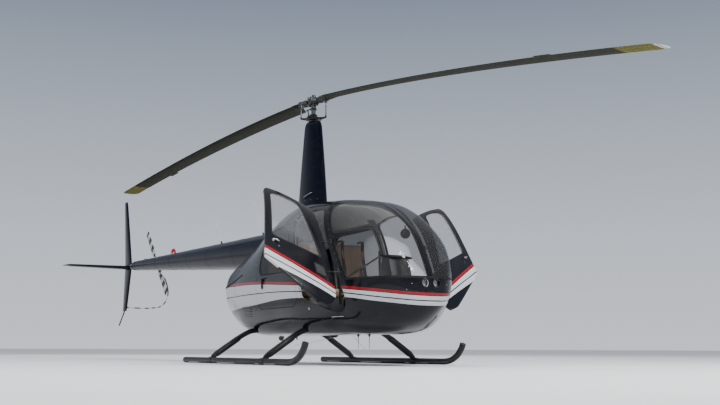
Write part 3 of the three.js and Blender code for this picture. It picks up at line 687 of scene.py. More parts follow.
BURNT_STEEL = bare_metal("burnt_steel", (0.16, 0.12, 0.095), 0.5)


# Body form

def section_at(forward):
    """The table's columns at a station, on a smooth curve through its rows."""
    k = 0
    while k < len(BODY) - 2 and BODY[k + 1][0] > forward:
        k += 1
    p0, p1, p2, p3 = BODY[max(k - 1, 0)], BODY[k], BODY[k + 1], BODY[min(k + 2, len(BODY) - 1)]
    h = p1[0] - p2[0]
    t = min(max((p1[0] - forward) / h, 0), 1)
    out = []
    for c in range(1, len(p1)):
        m1 = (p2[c] - p1[c]) / h if p0 is p1 else (p2[c] - p0[c]) / (p0[0] - p2[0])
        m2 = (p2[c] - p1[c]) / h if p3 is p2 else (p3[c] - p1[c]) / (p1[0] - p3[0])
        out.append((2 * t ** 3 - 3 * t * t + 1) * p1[c] + (t ** 3 - 2 * t * t + t) * h * m1
                   + (3 * t * t - 2 * t ** 3) * p2[c] + (t ** 3 - t * t) * h * m2)
    return out


def half_width(forward, up):
    w, low, high, middle, upper_power, lower_power = section_at(forward)
    power, span = (upper_power, high - middle) if up > middle else (lower_power, middle - low)
    return w * (1 - min(abs(up - middle) / span, 1) ** power) ** (1 / power)


def on_skin(forward, up, side, out=0.0):
    """A point on the body's side at a station and height."""
    return place(forward, side * (half_width(forward, up) + out), up)


def body_ring(forward, inset):
    """Points round the body at a station, set inward by inset (outward where it is negative)."""
    w, low, high, middle, upper_power, lower_power = section_at(forward)
    w = max(w - inset, w * 0.4)
    low, high = min(low + inset, middle - 0.01), max(high - inset, middle + 0.01)
    ring = []
    for i in range(AROUND):
        angle = 2 * math.pi * (i + 0.5) / AROUND
        c, s = math.cos(angle), math.sin(angle)
        power = upper_power if s > 0 else lower_power
        port = w * math.copysign(abs(c) ** (2 / power), c)
        span = high - middle if s > 0 else middle - low
        ring.append(place(forward, port, middle + span * math.copysign(abs(s) ** (2 / power), s)))
    return ring


def body_form(name, wall, inset=0.0):
    """The whole body as a closed skin of the given wall."""
    stations = []
    for a, b in zip(BODY, BODY[1:]):
        stations += [a[0] + (b[0] - a[0]) * k / STEPS for k in range(STEPS)]
    stations.append(BODY[-1][0])
    if inset > 0:
        stations = [station for station in stations if INSIDE[0] < station < INSIDE[1]]
    form = wrapped(name, [body_ring(station, inset) for station in stations])
    return modified(form, "SOLIDIFY", thickness=wall, offset=-1)


def room_inside():
    """A cutting form: the room inside the skin and its linings."""
    stations = [row[0] for row in BODY if INSIDE[0] < row[0] < INSIDE[1]]
    return wrapped("tool", [body_ring(station, SKIN + 0.012) for station in stations])


def boom_radius(forward):
    share = (forward - BOOM_FRONT[0]) / (BOOM_REAR[0] - BOOM_FRONT[0])
    return BOOM_FRONT[1] + (BOOM_REAR[1] - BOOM_FRONT[1]) * share


def boom_form(name, extra=0.0):
    stations = [BOOM_FRONT[0] + (BOOM_REAR[0] - BOOM_FRONT[0]) * k / 12 for k in range(13)]
    return swept(name, [place(f, 0, BOOM_TOP_Z - boom_radius(f)) for f in stations],
                 [boom_radius(f) + extra for f in stations], 64)


def windshield_block(gap=0.0):
    """A cutting form: all that lies ahead of the windshield's edge."""
    low, foot = SILL_Z + gap, WINDSHIELD_FOOT + gap
    top, nose = 2.1, 2.6
    outline = [(foot, low), (nose, low), (nose, top), (foot - WINDSHIELD_SLOPE * (top - low), top)]
    return plate("tool", outline, *BOTH_HALVES)


def on_both_doors(piece, which, name, material, slot, node=None):
    """A starboard piece made with the doors shut, and its port twin, each moved with its door."""
    twin = mirrored(piece, f"{name}_port")
    named(piece, f"{name}_starboard")
    for (side, sign), item in zip(SIDES, (piece, twin)):
        if which == "front":
            turned(item, [(f, -sign * p, u) for f, p, u in HINGE_FRONT], FRONT_OPEN[side] * sign)
        nodes = (f"{node}_{side}",) if node else ()
        put(item, material, slot, *nodes, body=f"{which}_door_{side}")


def cut_doors(shell, glazing):
    """Leaf and pane of each starboard door."""
    doors = []
    for which, outline, window in DOORS:
        leaf = kept(copied(shell, f"leaf_{which}"), through(outline, 0.0, STARBOARD_HALF))
        leaf = carved(leaf, through(window, 0.0, STARBOARD_HALF))
        pane = kept(copied(glazing, f"pane_{which}"), through(window, -CUT, STARBOARD_HALF))
        doors.append((which, leaf, pane))
    return doors


def cut_windshield(shell, glazing):
    """The starboard and port glass, and the strip between them."""
    ahead, edge = (0, 3), STRIP_W / 2
    glass = kept(glazing, windshield_block(CUT))
    port = kept(copied(glass, "windshield_glass_port"), within(ahead, (edge, 1)))
    starboard = named(kept(glass, within(ahead, (-1, -edge))), "windshield_glass_starboard")
    strip = kept(copied(shell, "windshield_centre_strip"), windshield_block(CUT))
    return starboard, port, kept(strip, within(ahead, (-edge, edge)))


def cut_cabin(shell):
    """Upper and lower part of the cabin, with the door openings and the holes for the lamps."""
    cabin = kept(shell, within((FIREWALL_X + CUT, 3)))
    for _, outline, _ in DOORS:
        cabin = carved(cabin, through(outline, DOOR_GAP))
    upper = kept(copied(cabin, "cabin_frame_panels"), between(SILL_Z, 3))
    upper = carved(upper, windshield_block())
    lower = named(kept(cabin, between(-1, SILL_Z - CUT)), "lower_shell_panels")
    f, p, u = LAMP
    for _, sign in SIDES:
        lower = carved(lower, cylinder("tool", place(f, sign * p, u), NOSEWARD, 0.047, 0.2))
    return upper, lower


def body_panels():
    """Shell, cabin frame, cowl, windshield and doors, all cut from the same skin."""
    shell = body_form("shell", SKIN)
    glazing = body_form("glazing", GLASS)
    doors = cut_doors(shell, glazing)
    starboard, port, strip = cut_windshield(shell, glazing)
    cowl = kept(copied(shell, "cowl_panels"), within((-3, FIREWALL_X - CUT)))
    cowl = carved(cowl, boom_form("tool", 0.002))
    upper, lower = cut_cabin(shell)
    for piece, node in ((upper, "cabin_frame"), (lower, "lower_shell"), (cowl, "engine_cowl"),
                        (strip, "windshield_strip")):
        note_body_place(piece)
        put(smooth(piece, 30), PAINT, "black", node)
    for piece, node in ((starboard, "windshield_starboard"), (port, "windshield_port")):
        put(smooth(piece, 30), WINDSHIELD_GLASS, "glass", node)
    for which, leaf, pane in doors:
        note_body_place(leaf, DOOR_STRIPE_DROP if which == "front" else 0.0)
        for piece, material, slot, node in ((leaf, PAINT, "black", f"door_{which}"),
                                            (pane, DOOR_GLASS[which], "glass", f"door_window_{which}")):
            on_both_doors(smooth(piece, 30), which, f"{node}_panel", material, slot, node)


body_panels()


# Rotor head and main blades, made in the rotor's own directions: x along blade a, y toward its nose edge

ROTOR_FRAME = Matrix.Translation((MAST_X, MAST_Y, 0)) @ Matrix.Rotation(
    math.radians(ROTOR_AZIMUTH - 90), 4, "Z")
ACROSS = (0, 1, 0)
ARM_RADII = [0.020, 0.014, 0.011]      # along a pitch horn or a swashplate arm
LINK_FOOT = (0.138, 0.088)             # where a pitch link stands


def put_on_rotor(piece, material, slot, *nodes):
    piece.data.transform(ROTOR_FRAME)
    put(piece, material, slot, *nodes, body="main_rotor")


def hexagon(name, base, toward, radius, height, rim=0.001):
    return cylinder(name, base, toward, radius, height, 6, rim)


def through_bolt(name, centre, toward, radius, length, nut):
    """A bolt shank with a washer and a hexagon at each end."""
    centre, toward = Vector(centre), Vector(toward).normalized()
    half = length / 2
    parts = [cylinder(name, centre - toward * half, toward, radius, length, 20, 0.0008)]
    for sign in (-1, 1):
        seat = centre + toward * sign * (half - nut * 1.1)
        parts.append(stacked("washer", seat, toward * sign, ((-0.003, nut * 1.35), (0, nut * 1.35)), 20,
                             0.0006))
        parts.append(hexagon("nut", seat, toward * sign, nut * 1.12, nut * 0.75))
    return joined(name, parts)


def hub_arm(name, sign, height, points, sides):
    """A tapered arm on one side of the mast, its points measured from a height on it."""
    return swept(name, [Vector((sign * x, sign * y, height + z)) for x, y, z in points], ARM_RADII, sides)


def hub_yoke():
    """Teetering hub: a forked yoke with a housing for each blade root."""
    parts = [
        blocked("yoke", (-0.125, -0.040, HUB_Z - 0.034), (0.125, 0.040, HUB_Z + 0.028), 0.012, 3),
        blocked("fork", (-0.036, -0.066, HUB_Z - 0.030), (0.036, 0.066, HUB_Z + 0.052), 0.014, 3),
        stacked("mast_cap", (0, 0, HUB_Z), UP, (
            (0.040, 0.036), (0.056, 0.036), (0.060, 0.024), (0.078, 0.024), (0.084, 0.016)), rim=0.002),
    ]
    for sign in (-1, 1):
        parts.append(stacked("root_housing", (sign * 0.095, 0, HUB_Z), (sign, 0, 0), (
            (0, 0.030), (0.02, 0.040), (0.045, 0.040), (0.052, 0.047), (0.070, 0.047), (0.076, 0.043),
            (0.150, 0.043), (0.156, 0.047), (0.172, 0.047), (0.178, 0.040), (0.192, 0.036)), rim=0.002))
        parts.append(hub_arm("pitch_horn", sign, HUB_Z, (
            (0.140, 0.030, -0.006), (0.142, 0.070, -0.014), (0.140, 0.098, -0.020)), 16))
        parts.append(blocked("droop_stop", (sign * 0.06 - 0.014, -0.020, HUB_Z - 0.060),
                             (sign * 0.06 + 0.014, 0.020, HUB_Z - 0.030)))
    put_on_rotor(joined("hub_yoke_and_housings", parts), HUB_PAINT, "dark", "rotor_hub")


def hub_bolts():
    parts = [through_bolt("teeter_bolt", (0, 0, HUB_Z + 0.026), ACROSS, 0.015, 0.176, 0.017)]
    for sign in (-1, 1):
        parts.append(through_bolt("coning_bolt", (sign * 0.084, 0, HUB_Z - 0.002), ACROSS, 0.013, 0.136,
                                  0.016))
        for turn in range(4):
            angle = math.radians(45 + 90 * turn)
            spot = (sign * 0.258, 0.030 * math.cos(angle), HUB_Z + 0.030 * math.sin(angle))
            parts.append(hexagon("housing_screw", spot, (sign, 0, 0), 0.006, 0.022, 0.0006))
    put_on_rotor(joined("hub_bolts", parts), DARK_STEEL, "metal")


def pitch_links():
    low, high = SWASH_TOP + 0.012, HUB_Z - 0.022
    end = ((0, 0.0055), (0.022, 0.0055), (0.024, 0.0085), (0.042, 0.0085), (0.044, 0.0070))
    steps = [(low + run, radius) for run, radius in end]
    steps += [(high - run, radius) for run, radius in reversed(end)]
    for name, sign in (("a", 1), ("b", -1)):
        x, y = (sign * value for value in LINK_FOOT)
        parts = [stacked("link_rod", (x, y, 0), UP, steps, 16, 0.0006)]
        for z in (low, high):
            parts.append(stacked("rod_end", (x, y - sign * 0.008, z), (0, sign, 0), (
                (0, 0.008), (0.002, 0.0125), (0.014, 0.0125), (0.016, 0.008)), 18, 0.0008))
        put_on_rotor(joined(f"pitch_link_rod_{name}", parts), DARK_STEEL, "metal", f"pitch_link_{name}")


def swash_rings():
    """Turning swashplate with an arm under each pitch link, and the scissor link that drives it."""
    top = SWASH_TOP
    parts = [stacked("turning_ring", (0, 0, top), UP, (
        (-0.034, 0.060), (-0.034, 0.098), (-0.024, 0.104), (-0.012, 0.104), (-0.004, 0.092),
        (0.006, 0.072), (0.014, 0.050), (0.034, 0.046), (0.040, 0.040)), rim=0.002)]
    for sign in (-1, 1):
        parts.append(hub_arm("ring_arm", sign, top, (
            (0.06, 0.040, -0.014), (0.105, 0.068, -0.010), (*LINK_FOOT, -0.002)), 14))
        x, y = (sign * value for value in LINK_FOOT)
        parts.append(cylinder("arm_pin", (x, y, top - 0.012), UP, 0.009, 0.020, 14, 0.001))
    parts.append(blocked("scissor_lug", (0.030, -0.118, top - 0.018), (0.062, -0.088, top + 0.006)))
    put_on_rotor(joined("swashplate_rings", parts), GEAR_PAINT, "metal", "swashplate")
    foot = Vector((0.046, -0.104, top + 0.002))
    elbow = Vector((0.046, -0.124, top + 0.066))
    head = Vector((0.030, -0.040, top + 0.106))
    links = joined("scissor_links", [
        stacked("scissor_collar", (0, 0, top + 0.094), UP,
                ((0, 0.030), (0, 0.040), (0.024, 0.040), (0.026, 0.032)), rim=0.001),
        swept("lower_link", [foot, (foot + elbow) / 2, elbow], 0.0075, 12),
        swept("upper_link", [elbow, (elbow + head) / 2, head], 0.0085, 12),
        cylinder("elbow_pin", elbow - Vector((0.018, 0, 0)), PORTWARD, 0.010, 0.036, 16, 0.001),
    ])
    put_on_rotor(links, HUB_PAINT, "dark")


def mast_tube():
    tube = stacked("mast_tube", place(0, 0, 0), UP, (
        (2.72, 0.0275), (SWASH_TOP + 0.13, 0.0275), (SWASH_TOP + 0.132, 0.033), (HUB_Z - 0.045, 0.033)),
        rim=0.001)
    put(tube, DARK_STEEL, "metal", "rotor_mast", body="main_rotor")


def foil_points(chord, thick, roundness, count=28):
    """Section points (toward the nose edge, up) from a foil to an ellipse as roundness goes to 1."""
    out = []
    for k in range(count):
        angle = 2 * math.pi * (k + 0.5) / count
        x = (1 - math.cos(angle)) / 2
        half = 5 * (0.2969 * math.sqrt(x) - 0.126 * x - 0.3516 * x * x + 0.2843 * x ** 3 - 0.1036 * x ** 4)
        side = 1 if angle < math.pi else -1
        foil = Vector(((0.25 - x) * chord, side * half * thick))
        oval = Vector((0.5 * chord * math.cos(angle), 0.5 * thick * math.sin(angle)))
        out.append(foil.lerp(oval, roundness))
    return out


def blade_height(r, end):
    return HUB_Z - BLADE_DROOP * (r / ROTOR_R) ** 1.5 + end * r * math.sin(math.radians(0.5))


def eased(value, low, high):
    t = min(max((value - low) / (high - low), 0), 1)
    return t * t * (3 - 2 * t)


def tip_share(r, start, end, amount):
    """What is left of a measure where the blade's tip is rounded off from start to end."""
    return 1 - amount * (max(r - start, 0) / (end - start)) ** 2


def blade_section(r, end):
    full = eased(r, 0.26, 0.42)
    chord = 0.105 + (ROTOR_CHORD - 0.105) * full
    thick = 0.060 + (0.031 - 0.060) * full - 0.005 * eased(r, 3.2, 4.9)
    chord *= tip_share(r, BLADE_TIP, ROTOR_R, 0.30)
    thick *= tip_share(r, BLADE_TIP, ROTOR_R, 0.60)
    pitch = math.radians(5 * (1 - eased(r, 0.6, 5.0)) + 1)
    ring = []
    for c, t in foil_points(chord, thick, 1 - full):
        a, b = c * math.cos(pitch) - t * math.sin(pitch), c * math.sin(pitch) + t * math.cos(pitch)
        ring.append(Vector((end * r, end * a, blade_height(r, end) + b)))
    return ring


TAB_START = 3.72           # distance of a blade's trim tab from the mast
TAB_LENGTH = 0.20


def main_blade(name, end):
    stations = [0.275, 0.29, 0.305, 0.32, 0.335, 0.35, 0.365, 0.38, 0.40, 0.42, 0.46, 0.54, 0.70, 0.85]
    stations += [1.0 + 0.2 * k for k in range(20)] + [BLADE_TIP, 4.95, 4.98, 5.005, 5.02, ROTOR_R]
    blade = smooth(wrapped(f"{name}_skin", [blade_section(r, end) for r in stations]), 40)
    rear = -0.75 * ROTOR_CHORD
    tab = blocked("trim_tab", (0, rear - 0.034, -0.001), (TAB_LENGTH, rear + 0.010, 0.0012), 0.0006, 1)
    if end < 0:
        tab.data.transform(Matrix.Diagonal((-1, -1, 1, 1)))
    start = blade_height(TAB_START, end)
    droop = (blade_height(TAB_START + TAB_LENGTH, end) - start) / TAB_LENGTH
    for vertex in tab.data.vertices:
        along, back = abs(vertex.co.x), -abs(vertex.co.y)
        vertex.co.z += start + along * droop + back * math.sin(math.radians(2.0)) * 0.9
        vertex.co.x += end * TAB_START
    skin = joined(f"{name}_skin", [blade, tab])
    note_run(skin, lambda co: abs(co.x))
    put_on_rotor(skin, BLADE, "blade", name)


def mast_cover():
    """Tall oval fairing round the mast, with a rounded shoulder, standing on the roof."""
    rows = ((1.795, 0.305, 0.115), (1.86, 0.301, 0.111), (1.95, 0.298, 0.108), (2.30, 0.255, 0.098),
            (2.70, 0.195, 0.086), (2.86, 0.170, 0.080), (2.90, 0.160, 0.076), (2.925, 0.148, 0.069),
            (2.942, 0.128, 0.058), (2.950, 0.100, 0.046))
    angles = [2 * math.pi * k / 64 for k in range(64)]
    cover = wrapped("mast_cover", [[place(a * math.cos(t), b * math.sin(t), up) for t in angles]
                                   for up, a, b in rows])
    cover = carved(cover, body_form("tool", 0.2, -0.0006))
    cover = carved(cover, cylinder("tool", place(0, 0, 2.5), UP, 0.0335, 0.6, 40))
    put(smooth(cover), NAVY, "navy", "mast_fairing")


hub_yoke()
hub_bolts()
pitch_links()
swash_rings()
mast_tube()
main_blade("main_blade_a", 1)
main_blade("main_blade_b", -1)
mast_cover()


# Tail

# Fin outline (forward, up, corner radius) and its front and rear edges (up, forward)
FIN = ((-6.735, 2.750, 0.03), (-6.890, 2.765, 0.03), (-6.760, 1.670, 0.20), (-6.760, 1.500, 0.20),
       (-6.795, 0.825, 0.02), (-6.600, 0.820, 0.02), (-6.440, 1.500, 0.25), (-6.425, 1.655, 0.25))
FIN_FRONT = ((0.82, -6.600), (1.50, -6.440), (1.655, -6.425), (2.75, -6.735))
FIN_REAR = ((0.82, -6.795), (1.50, -6.760), (1.67, -6.760), (2.765, -6.890))
FIN_HEIGHTS = (0.820, 2.765)
FIN_HALF = 0.0224          # a little over half its thickness
# Run of the tail rotor guard, from the fin's foot round to the boom
GUARD = ((-6.64, 0.0, 0.885), (-6.30, 0.20, 0.862), (-5.95, 0.275, 0.862), (-5.72, 0.29, 0.878),
         (-5.51, 0.29, 0.945), (-5.37, 0.275, 1.05), (-5.30, 0.24, 1.17), (-5.27, 0.17, 1.33),
         (-5.26, 0.075, 1.452))


def tail_boom():
    boom = bevelled(boom_form("tail_boom_skin"), 0.004, 2, 50)
    put(smooth(boom, 40), NAVY, "navy", "tail_boom")
    slope = 0.034 * (BOOM_REAR[1] - BOOM_FRONT[1]) / (BOOM_REAR[0] - BOOM_FRONT[0])
    bands = []
    for forward in (-1.86, -2.80, -3.62, -4.36, -5.02, -5.60, -6.06):
        radius = boom_radius(forward)
        front, rear = radius + slope * 0.5, radius - slope * 0.5
        bands.append(stacked("skin_lap", place(forward, 0, BOOM_TOP_Z - radius), TAILWARD, (
            (-0.018, front - 0.002), (-0.017, front + 0.0012), (0.017, rear + 0.0012),
            (0.018, rear - 0.002)), 64))
    put(joined("boom_skin_laps", bands), NAVY, "navy")


def span_at(value, points):
    """Straight lines through (position, amount) points."""
    for (a, b), (c, d) in zip(points, points[1:]):
        if value <= c:
            return b + (d - b) * (max(value, a) - a) / (c - a)
    return points[-1][1]


def tail_fin():
    """Swept fin above and below the boom: thick ahead of its middle and thin at its edges."""
    rings = []
    steps = 48
    for k in range(steps + 1):
        up = FIN_HEIGHTS[0] + (FIN_HEIGHTS[1] - FIN_HEIGHTS[0]) * k / steps
        front = span_at(up, FIN_FRONT)
        chord = front - span_at(up, FIN_REAR)
        thick = 0.044 if 1.2 < up < 2.2 else 0.044 - 0.014 * min(abs(up - 1.7) - 0.5, 1)
        end = min(k, steps - k)
        if end < 2:
            thick *= (0.45, 0.85)[end]
        rings.append([place(front - (0.25 - c / chord) * chord, t, up)
                      for c, t in foil_points(chord, thick, 0.12, 32)])
    put(smooth(wrapped("tail_fin_skin", rings), 40), NAVY, "navy", "vertical_fin")


def stabilizer():
    rings = []
    for k in range(25):
        out = FIN_HALF + (1.12 - FIN_HALF) * k / 24
        shrink = (0.35, 0.8)[24 - k] if k > 22 else 1
        thick = (0.068 - 0.028 * k / 24) * shrink
        rings.append([place(-6.47 + (c - 0.0675), -out, 1.575 + t)
                      for c, t in foil_points(0.27, thick, 0.05, 32)])
    put(smooth(wrapped("stabilizer_skin", rings), 40), NAVY, "navy", "stabilizer")
    cuff = stacked("stabilizer_root_fitting", place(-6.56, -0.021, 1.575), STARBOARDWARD,
                   ((0, 0.050), (0.008, 0.050), (0.012, 0.042), (0.030, 0.038)), 24, 0.0015)
    put(cuff, GEAR_PAINT, "navy")


def boom_end():
    cap = stacked("boom_end_cap", place(-6.1735, 0, BOOM_TOP_Z - BOOM_REAR[1]), TAILWARD, (
        (0, 0.0785), (0.03, 0.077), (0.09, 0.070), (0.15, 0.060), (0.22, 0.046), (0.27, 0.034),
        (0.295, 0.022)), 40, 0.003)
    cap = carved(cap, through(FIN, 0.001, (-FIN_HALF, FIN_HALF)))
    put(smooth(cap), NAVY, "navy", "boom_tip")


def tail_gearbox():
    f, p, u = MAST_Y - TAIL_HUB.y, TAIL_HUB.x - MAST_X, TAIL_HUB.z
    axis = u - 0.012
    parts = [
        stacked("case", place(f, 0.030, axis), PORTWARD, (
            (0, 0.058), (0.014, 0.061), (0.030, 0.061), (0.036, 0.052), (0.062, 0.048), (0.068, 0.040),
            (0.092, 0.036), (p - 0.030 - 0.132, 0.034)), 40, 0.002),
        stacked("input_flange", place(f + 0.075, 0.026, u - 0.018), TAILWARD, (
            (0, 0.036), (0.012, 0.036), (0.014, 0.046), (0.024, 0.046), (0.03, 0.04), (0.06, 0.04)),
            rim=0.0015),
    ]
    for k in range(4):
        parts.append(stacked("fin_ring", place(f, 0.040 + 0.011 * k, axis), PORTWARD, (
            (0, 0.061), (0.001, 0.068), (0.004, 0.068), (0.005, 0.061)), 40, 0.0006))
    parts = [carved(part, boom_form("tool", 0.0008)) for part in parts]
    put(joined("tail_gearbox_case", parts), CAST, "dark", "tail_gearbox")
    screws = []
    for k in range(6):
        angle = math.radians(30 + 60 * k)
        spot = place(f + 0.043 * math.cos(angle), 0.098, axis + 0.043 * math.sin(angle))
        screws.append(hexagon("screw", spot, PORTWARD, 0.005, 0.006, 0.0006))
    screws.append(stacked("sight_glass", place(f - 0.060, 0.062, axis), TAILWARD,
                          ((0, 0.012), (0.004, 0.012), (0.005, 0.009), (0.010, 0.009)), 20, 0.0008))
    put(joined("tail_gearbox_screws", screws), STEEL, "metal")


def blade_directions(sign):
    """Along a tail rotor blade, and across it toward its front edge."""
    s, c = math.sin(TAIL_ANGLE), math.cos(TAIL_ANGLE)
    return Vector((0, s, c)) * sign, Vector((0, -c, s)) * sign


def tail_blade_ring(r, sign):
    """Section of a tail rotor blade at a distance from its hub, in the frame's metres."""
    full = eased(r, 0.13, 0.24)
    chord = 0.048 + (TAIL_CHORD - 0.048) * full
    thick = 0.028 - 0.014 * full
    chord *= tip_share(r, TAIL_BLADE_TIP, TAIL_R, 0.25)
    thick *= tip_share(r, TAIL_BLADE_TIP, TAIL_R, 0.60)
    along, across = blade_directions(sign)
    return [TAIL_HUB + along * r + across * (c + 0.25 * chord * full) + Vector((t, 0, 0))
            for c, t in foil_points(chord, thick, 1 - full, 24)]


def tail_rotor():
    stations = [0.030, 0.06, 0.09, 0.12, 0.14, 0.16, 0.18, 0.20, 0.22, 0.24]
    stations += [0.24 + 0.031 * k for k in range(1, 16)] + [0.715, 0.725, 0.732, TAIL_R]
    for name, sign in (("a", 1), ("b", -1)):
        rings = [tail_blade_ring(r, sign) for r in stations]
        blade = smooth(wrapped(f"tail_blade_skin_{name}", rings), 40)
        along, _ = blade_directions(sign)
        note_run(blade, lambda co: (co - TAIL_HUB).dot(along))
        put(blade, TAIL_BANDS, "black", f"tail_blade_{name}", body="tail_rotor")
    _, across = blade_directions(-1)
    hub = [
        stacked("shaft", TAIL_HUB - Vector((0.128, 0, 0)), PORTWARD, (
            (0, 0.016), (0.040, 0.016), (0.041, 0.028), (0.054, 0.028), (0.055, 0.018), (0.105, 0.018),
            (0.108, 0.026), (0.148, 0.026), (0.150, 0.014), (0.158, 0.014)), 28, 0.001),
        through_bolt("flap_bolt", TAIL_HUB, across, 0.009, 0.080, 0.011),
    ]
    for sign in (-1, 1):
        along, across = blade_directions(sign)
        start = TAIL_HUB - Vector((0.078, 0, 0)) + across * 0.03
        tip = TAIL_HUB + along * 0.085 + across * 0.045
        arm = [start, start + across * 0.028, tip - Vector((0.045, 0, 0))]
        hub.append(swept("pitch_arm", arm, 0.006, 12))
        hub.append(cylinder("link", tip - Vector((0.05, 0, 0)), PORTWARD, 0.008, 0.05, 14, 0.001))
    put(joined("tail_rotor_hub_parts", hub), STEEL, "metal", "tail_rotor_hub", body="tail_rotor")


def tail_guard():
    guard = swept("tail_guard_tube", curved(path(*GUARD)), 0.011, 20)
    note_run(guard, lambda co: co.y - MAST_Y)
    put(guard, GUARD_BANDS, "black", "tail_rotor_guard")
    foot = stacked("tail_guard_foot", place(-5.262, 0.080, 1.444), (0.35, 0.04, -0.93),
                   ((-0.010, 0.022), (0.012, 0.022), (0.016, 0.015), (0.030, 0.014)), 24, 0.001)
    put(foot, GEAR_PAINT, "black")


def tail_stinger():
    points = path((-6.70, 0, 0.815), (-6.74, 0, 0.775), (-6.80, 0, 0.72), (-6.95, 0, 0.575))
    skid = swept("tail_stinger", curved(points, 4), 0.0115)
    put(carved(skid, through(FIN, 0.0008, (-0.03, 0.03))), GEAR_PAINT, "black", "tail_skid")


def boom_fittings():
    base = stacked("beacon_base", place(-4.48, 0, 1.660), UP,
                   ((-0.003, 0.046), (0.004, 0.046), (0.006, 0.041), (0.014, 0.041)), 36, 0.001)
    put(base, ALUMINIUM, "navy")
    dome = stacked("beacon_lens", place(-4.48, 0, 1.672), UP, (
        (0, 0.037), (0.024, 0.037), (0.044, 0.034), (0.058, 0.027), (0.068, 0.017), (0.073, 0.006)),
        36, 0.001)
    put(dome, RED_GLASS, "red", "beacon")
    for name, foot, tip in (("front", (-1.309, 0, 1.664), (-1.62, 0, 2.15)),
                            ("rear", (-2.634, 0, 1.664), (-2.93, 0, 2.13))):
        low, high = path(foot, tip)
        whip = swept(f"whip_antenna_{name}", [low.lerp(high, t) for t in (0, 0.1, 0.4, 0.7, 1)],
                     [0.0060, 0.0050, 0.0042, 0.0034, 0.0026])
        put(whip, WHITE_PAINT, "lamp", f"antenna_{name}")
        socket = stacked(f"antenna_base_{name}", low - Vector((0, 0, 0.006)), high - low,
                         ((0, 0.022), (0.010, 0.022), (0.016, 0.012), (0.050, 0.009)), 24, 0.001)
        put(socket, GEAR_PAINT, "black")


tail_boom()
tail_fin()
stabilizer()
boom_end()
tail_gearbox()
tail_rotor()
tail_guard()
tail_stinger()
boom_fittings()


# Landing gear

# Half of a cross tube from its skid to the middle, and the run of the sleeve on its leg (port, up)
LEG = ((0.990, 0.046), (0.950, 0.100), (0.80, 0.20), (0.60, 0.330), (0.45, 0.392), (0.25, 0.402),
       (0.0, 0.402))
SLEEVE = ((0.945, 0.104), (0.80, 0.20), (0.64, 0.304))


def skid_sleeve(name, stations, port, thin, thick, low, high):
    """A sleeve on a skid tube, thinner at its ends, cut away between two heights."""
    sleeve = swept(name, [place(f, port, SKID_R) for f in stations],
                   [SKID_R + thin, SKID_R + thick, SKID_R + thick, SKID_R + thin], 32)
    return carved(sleeve, between(low, high))


def skid_tubes():
    for side, sign in SIDES:
        y = SKID_Y * sign
        line = path((-1.45, y, SKID_R), (0.0, y, SKID_R), (1.20, y, SKID_R))
        line += curved(path((1.30, y, SKID_R), (1.42, y, 0.050), (1.54, y, 0.100), (1.62, y, 0.175),
                            (1.655, y, 0.235)))
        tube = swept(f"skid_tube_{side}", line, SKID_R - 0.0008, 32)
        plug = stacked("plug", place(-1.447, y, SKID_R), TAILWARD, (
            (-0.006, SKID_R - 0.004), (0.004, SKID_R - 0.004), (0.007, SKID_R - 0.010)), rim=0.001)
        put(joined(f"skid_tube_{side}", [tube, plug]), GEAR_PAINT, "black", f"skid_{side}")
        shoes = []
        for start, end in ((-1.30, -0.95), (-0.45, 0.05), (0.55, 1.05)):
            stations = [start + (end - start) * t for t in (0, 0.03, 0.97, 1)]
            shoes.append(skid_sleeve("shoe", stations, y, -0.003, 0.0012, 0.018, 0.5))
        shoe = joined(f"skid_shoes_{side}", shoes)
        shoe.data.transform(Matrix.Translation((0, 0, 0.0012)))
        put(shoe, STEEL, "metal")


def leg_sleeve(station, sign):
    """Streamlined sleeve on a leg."""
    line = curved([place(station, sign * p, u) for p, u in SLEEVE], 5)
    rings = []
    for i, point in enumerate(line):
        normal = Vector(TAILWARD).cross(heading(line, i)).normalized()
        size = 0.86 if i in (0, len(line) - 1) else 1
        rings.append([point + Vector((0, -c - 0.012, 0)) * size + normal * t * size
                      for c, t in foil_points(0.120, 0.072, 0.12, 28)])
    return smooth(wrapped("sleeve", rings), 40)


def cross_tubes():
    """Bent cross tubes whose legs wear sleeves, with a saddle on each skid."""
    for name, station in CROSS_TUBES.items():
        half = curved([place(station, -p, u) for p, u in LEG], 5)
        points = half + [Vector((2 * MAST_X - v.x, v.y, v.z)) for v in reversed(half[:-1])]
        parts = [swept("tube", points, 0.031, 28)]
        for _, sign in SIDES:
            parts.append(leg_sleeve(station, sign))
            stations = [station + run for run in (-0.055, -0.05, 0.05, 0.055)]
            parts.append(skid_sleeve("saddle", stations, sign * SKID_Y, 0.001, 0.005, -0.2, 0.0008))
        gear = joined(f"cross_tube_and_sleeves_{name}", parts)
        put(smooth(gear), GEAR_PAINT, "black", f"cross_tube_{name}")


skid_tubes()
cross_tubes()


# Cabin linings, glazing seals and door fittings

def skin_piece(name, wall, inset, *cuts):
    """Part of a skin set inward by inset, kept inside the first (outline, ports) and cut by the others."""
    form = body_form(name, wall, inset)
    for i, (outline, ports) in enumerate(cuts):
        form = carved(form, plate("tool", outline, *ports), "DIFFERENCE" if i else "INTERSECT")
    return smooth(form, 30)


def door_linings():
    for which, door, window in DOORS:
        lining = skin_piece("lining", 0.006, SKIN + 0.0005, (rounded(door, -0.014), STARBOARD_HALF),
                            (rounded(window, 0.014), STARBOARD_HALF))
        on_both_doors(lining, which, f"door_lining_{which}", LINING, "grey")


def window_seals():
    """Black rubber round each door window, a little proud of the paint and the pane."""
    for which, _, window in DOORS:
        seal = skin_piece("seal", 0.0125, -0.0012, (rounded(window, 0.007), STARBOARD_HALF),
                          (rounded(window, -0.006), STARBOARD_HALF))
        on_both_doors(seal, which, f"window_seal_{which}", RUBBER, "black")


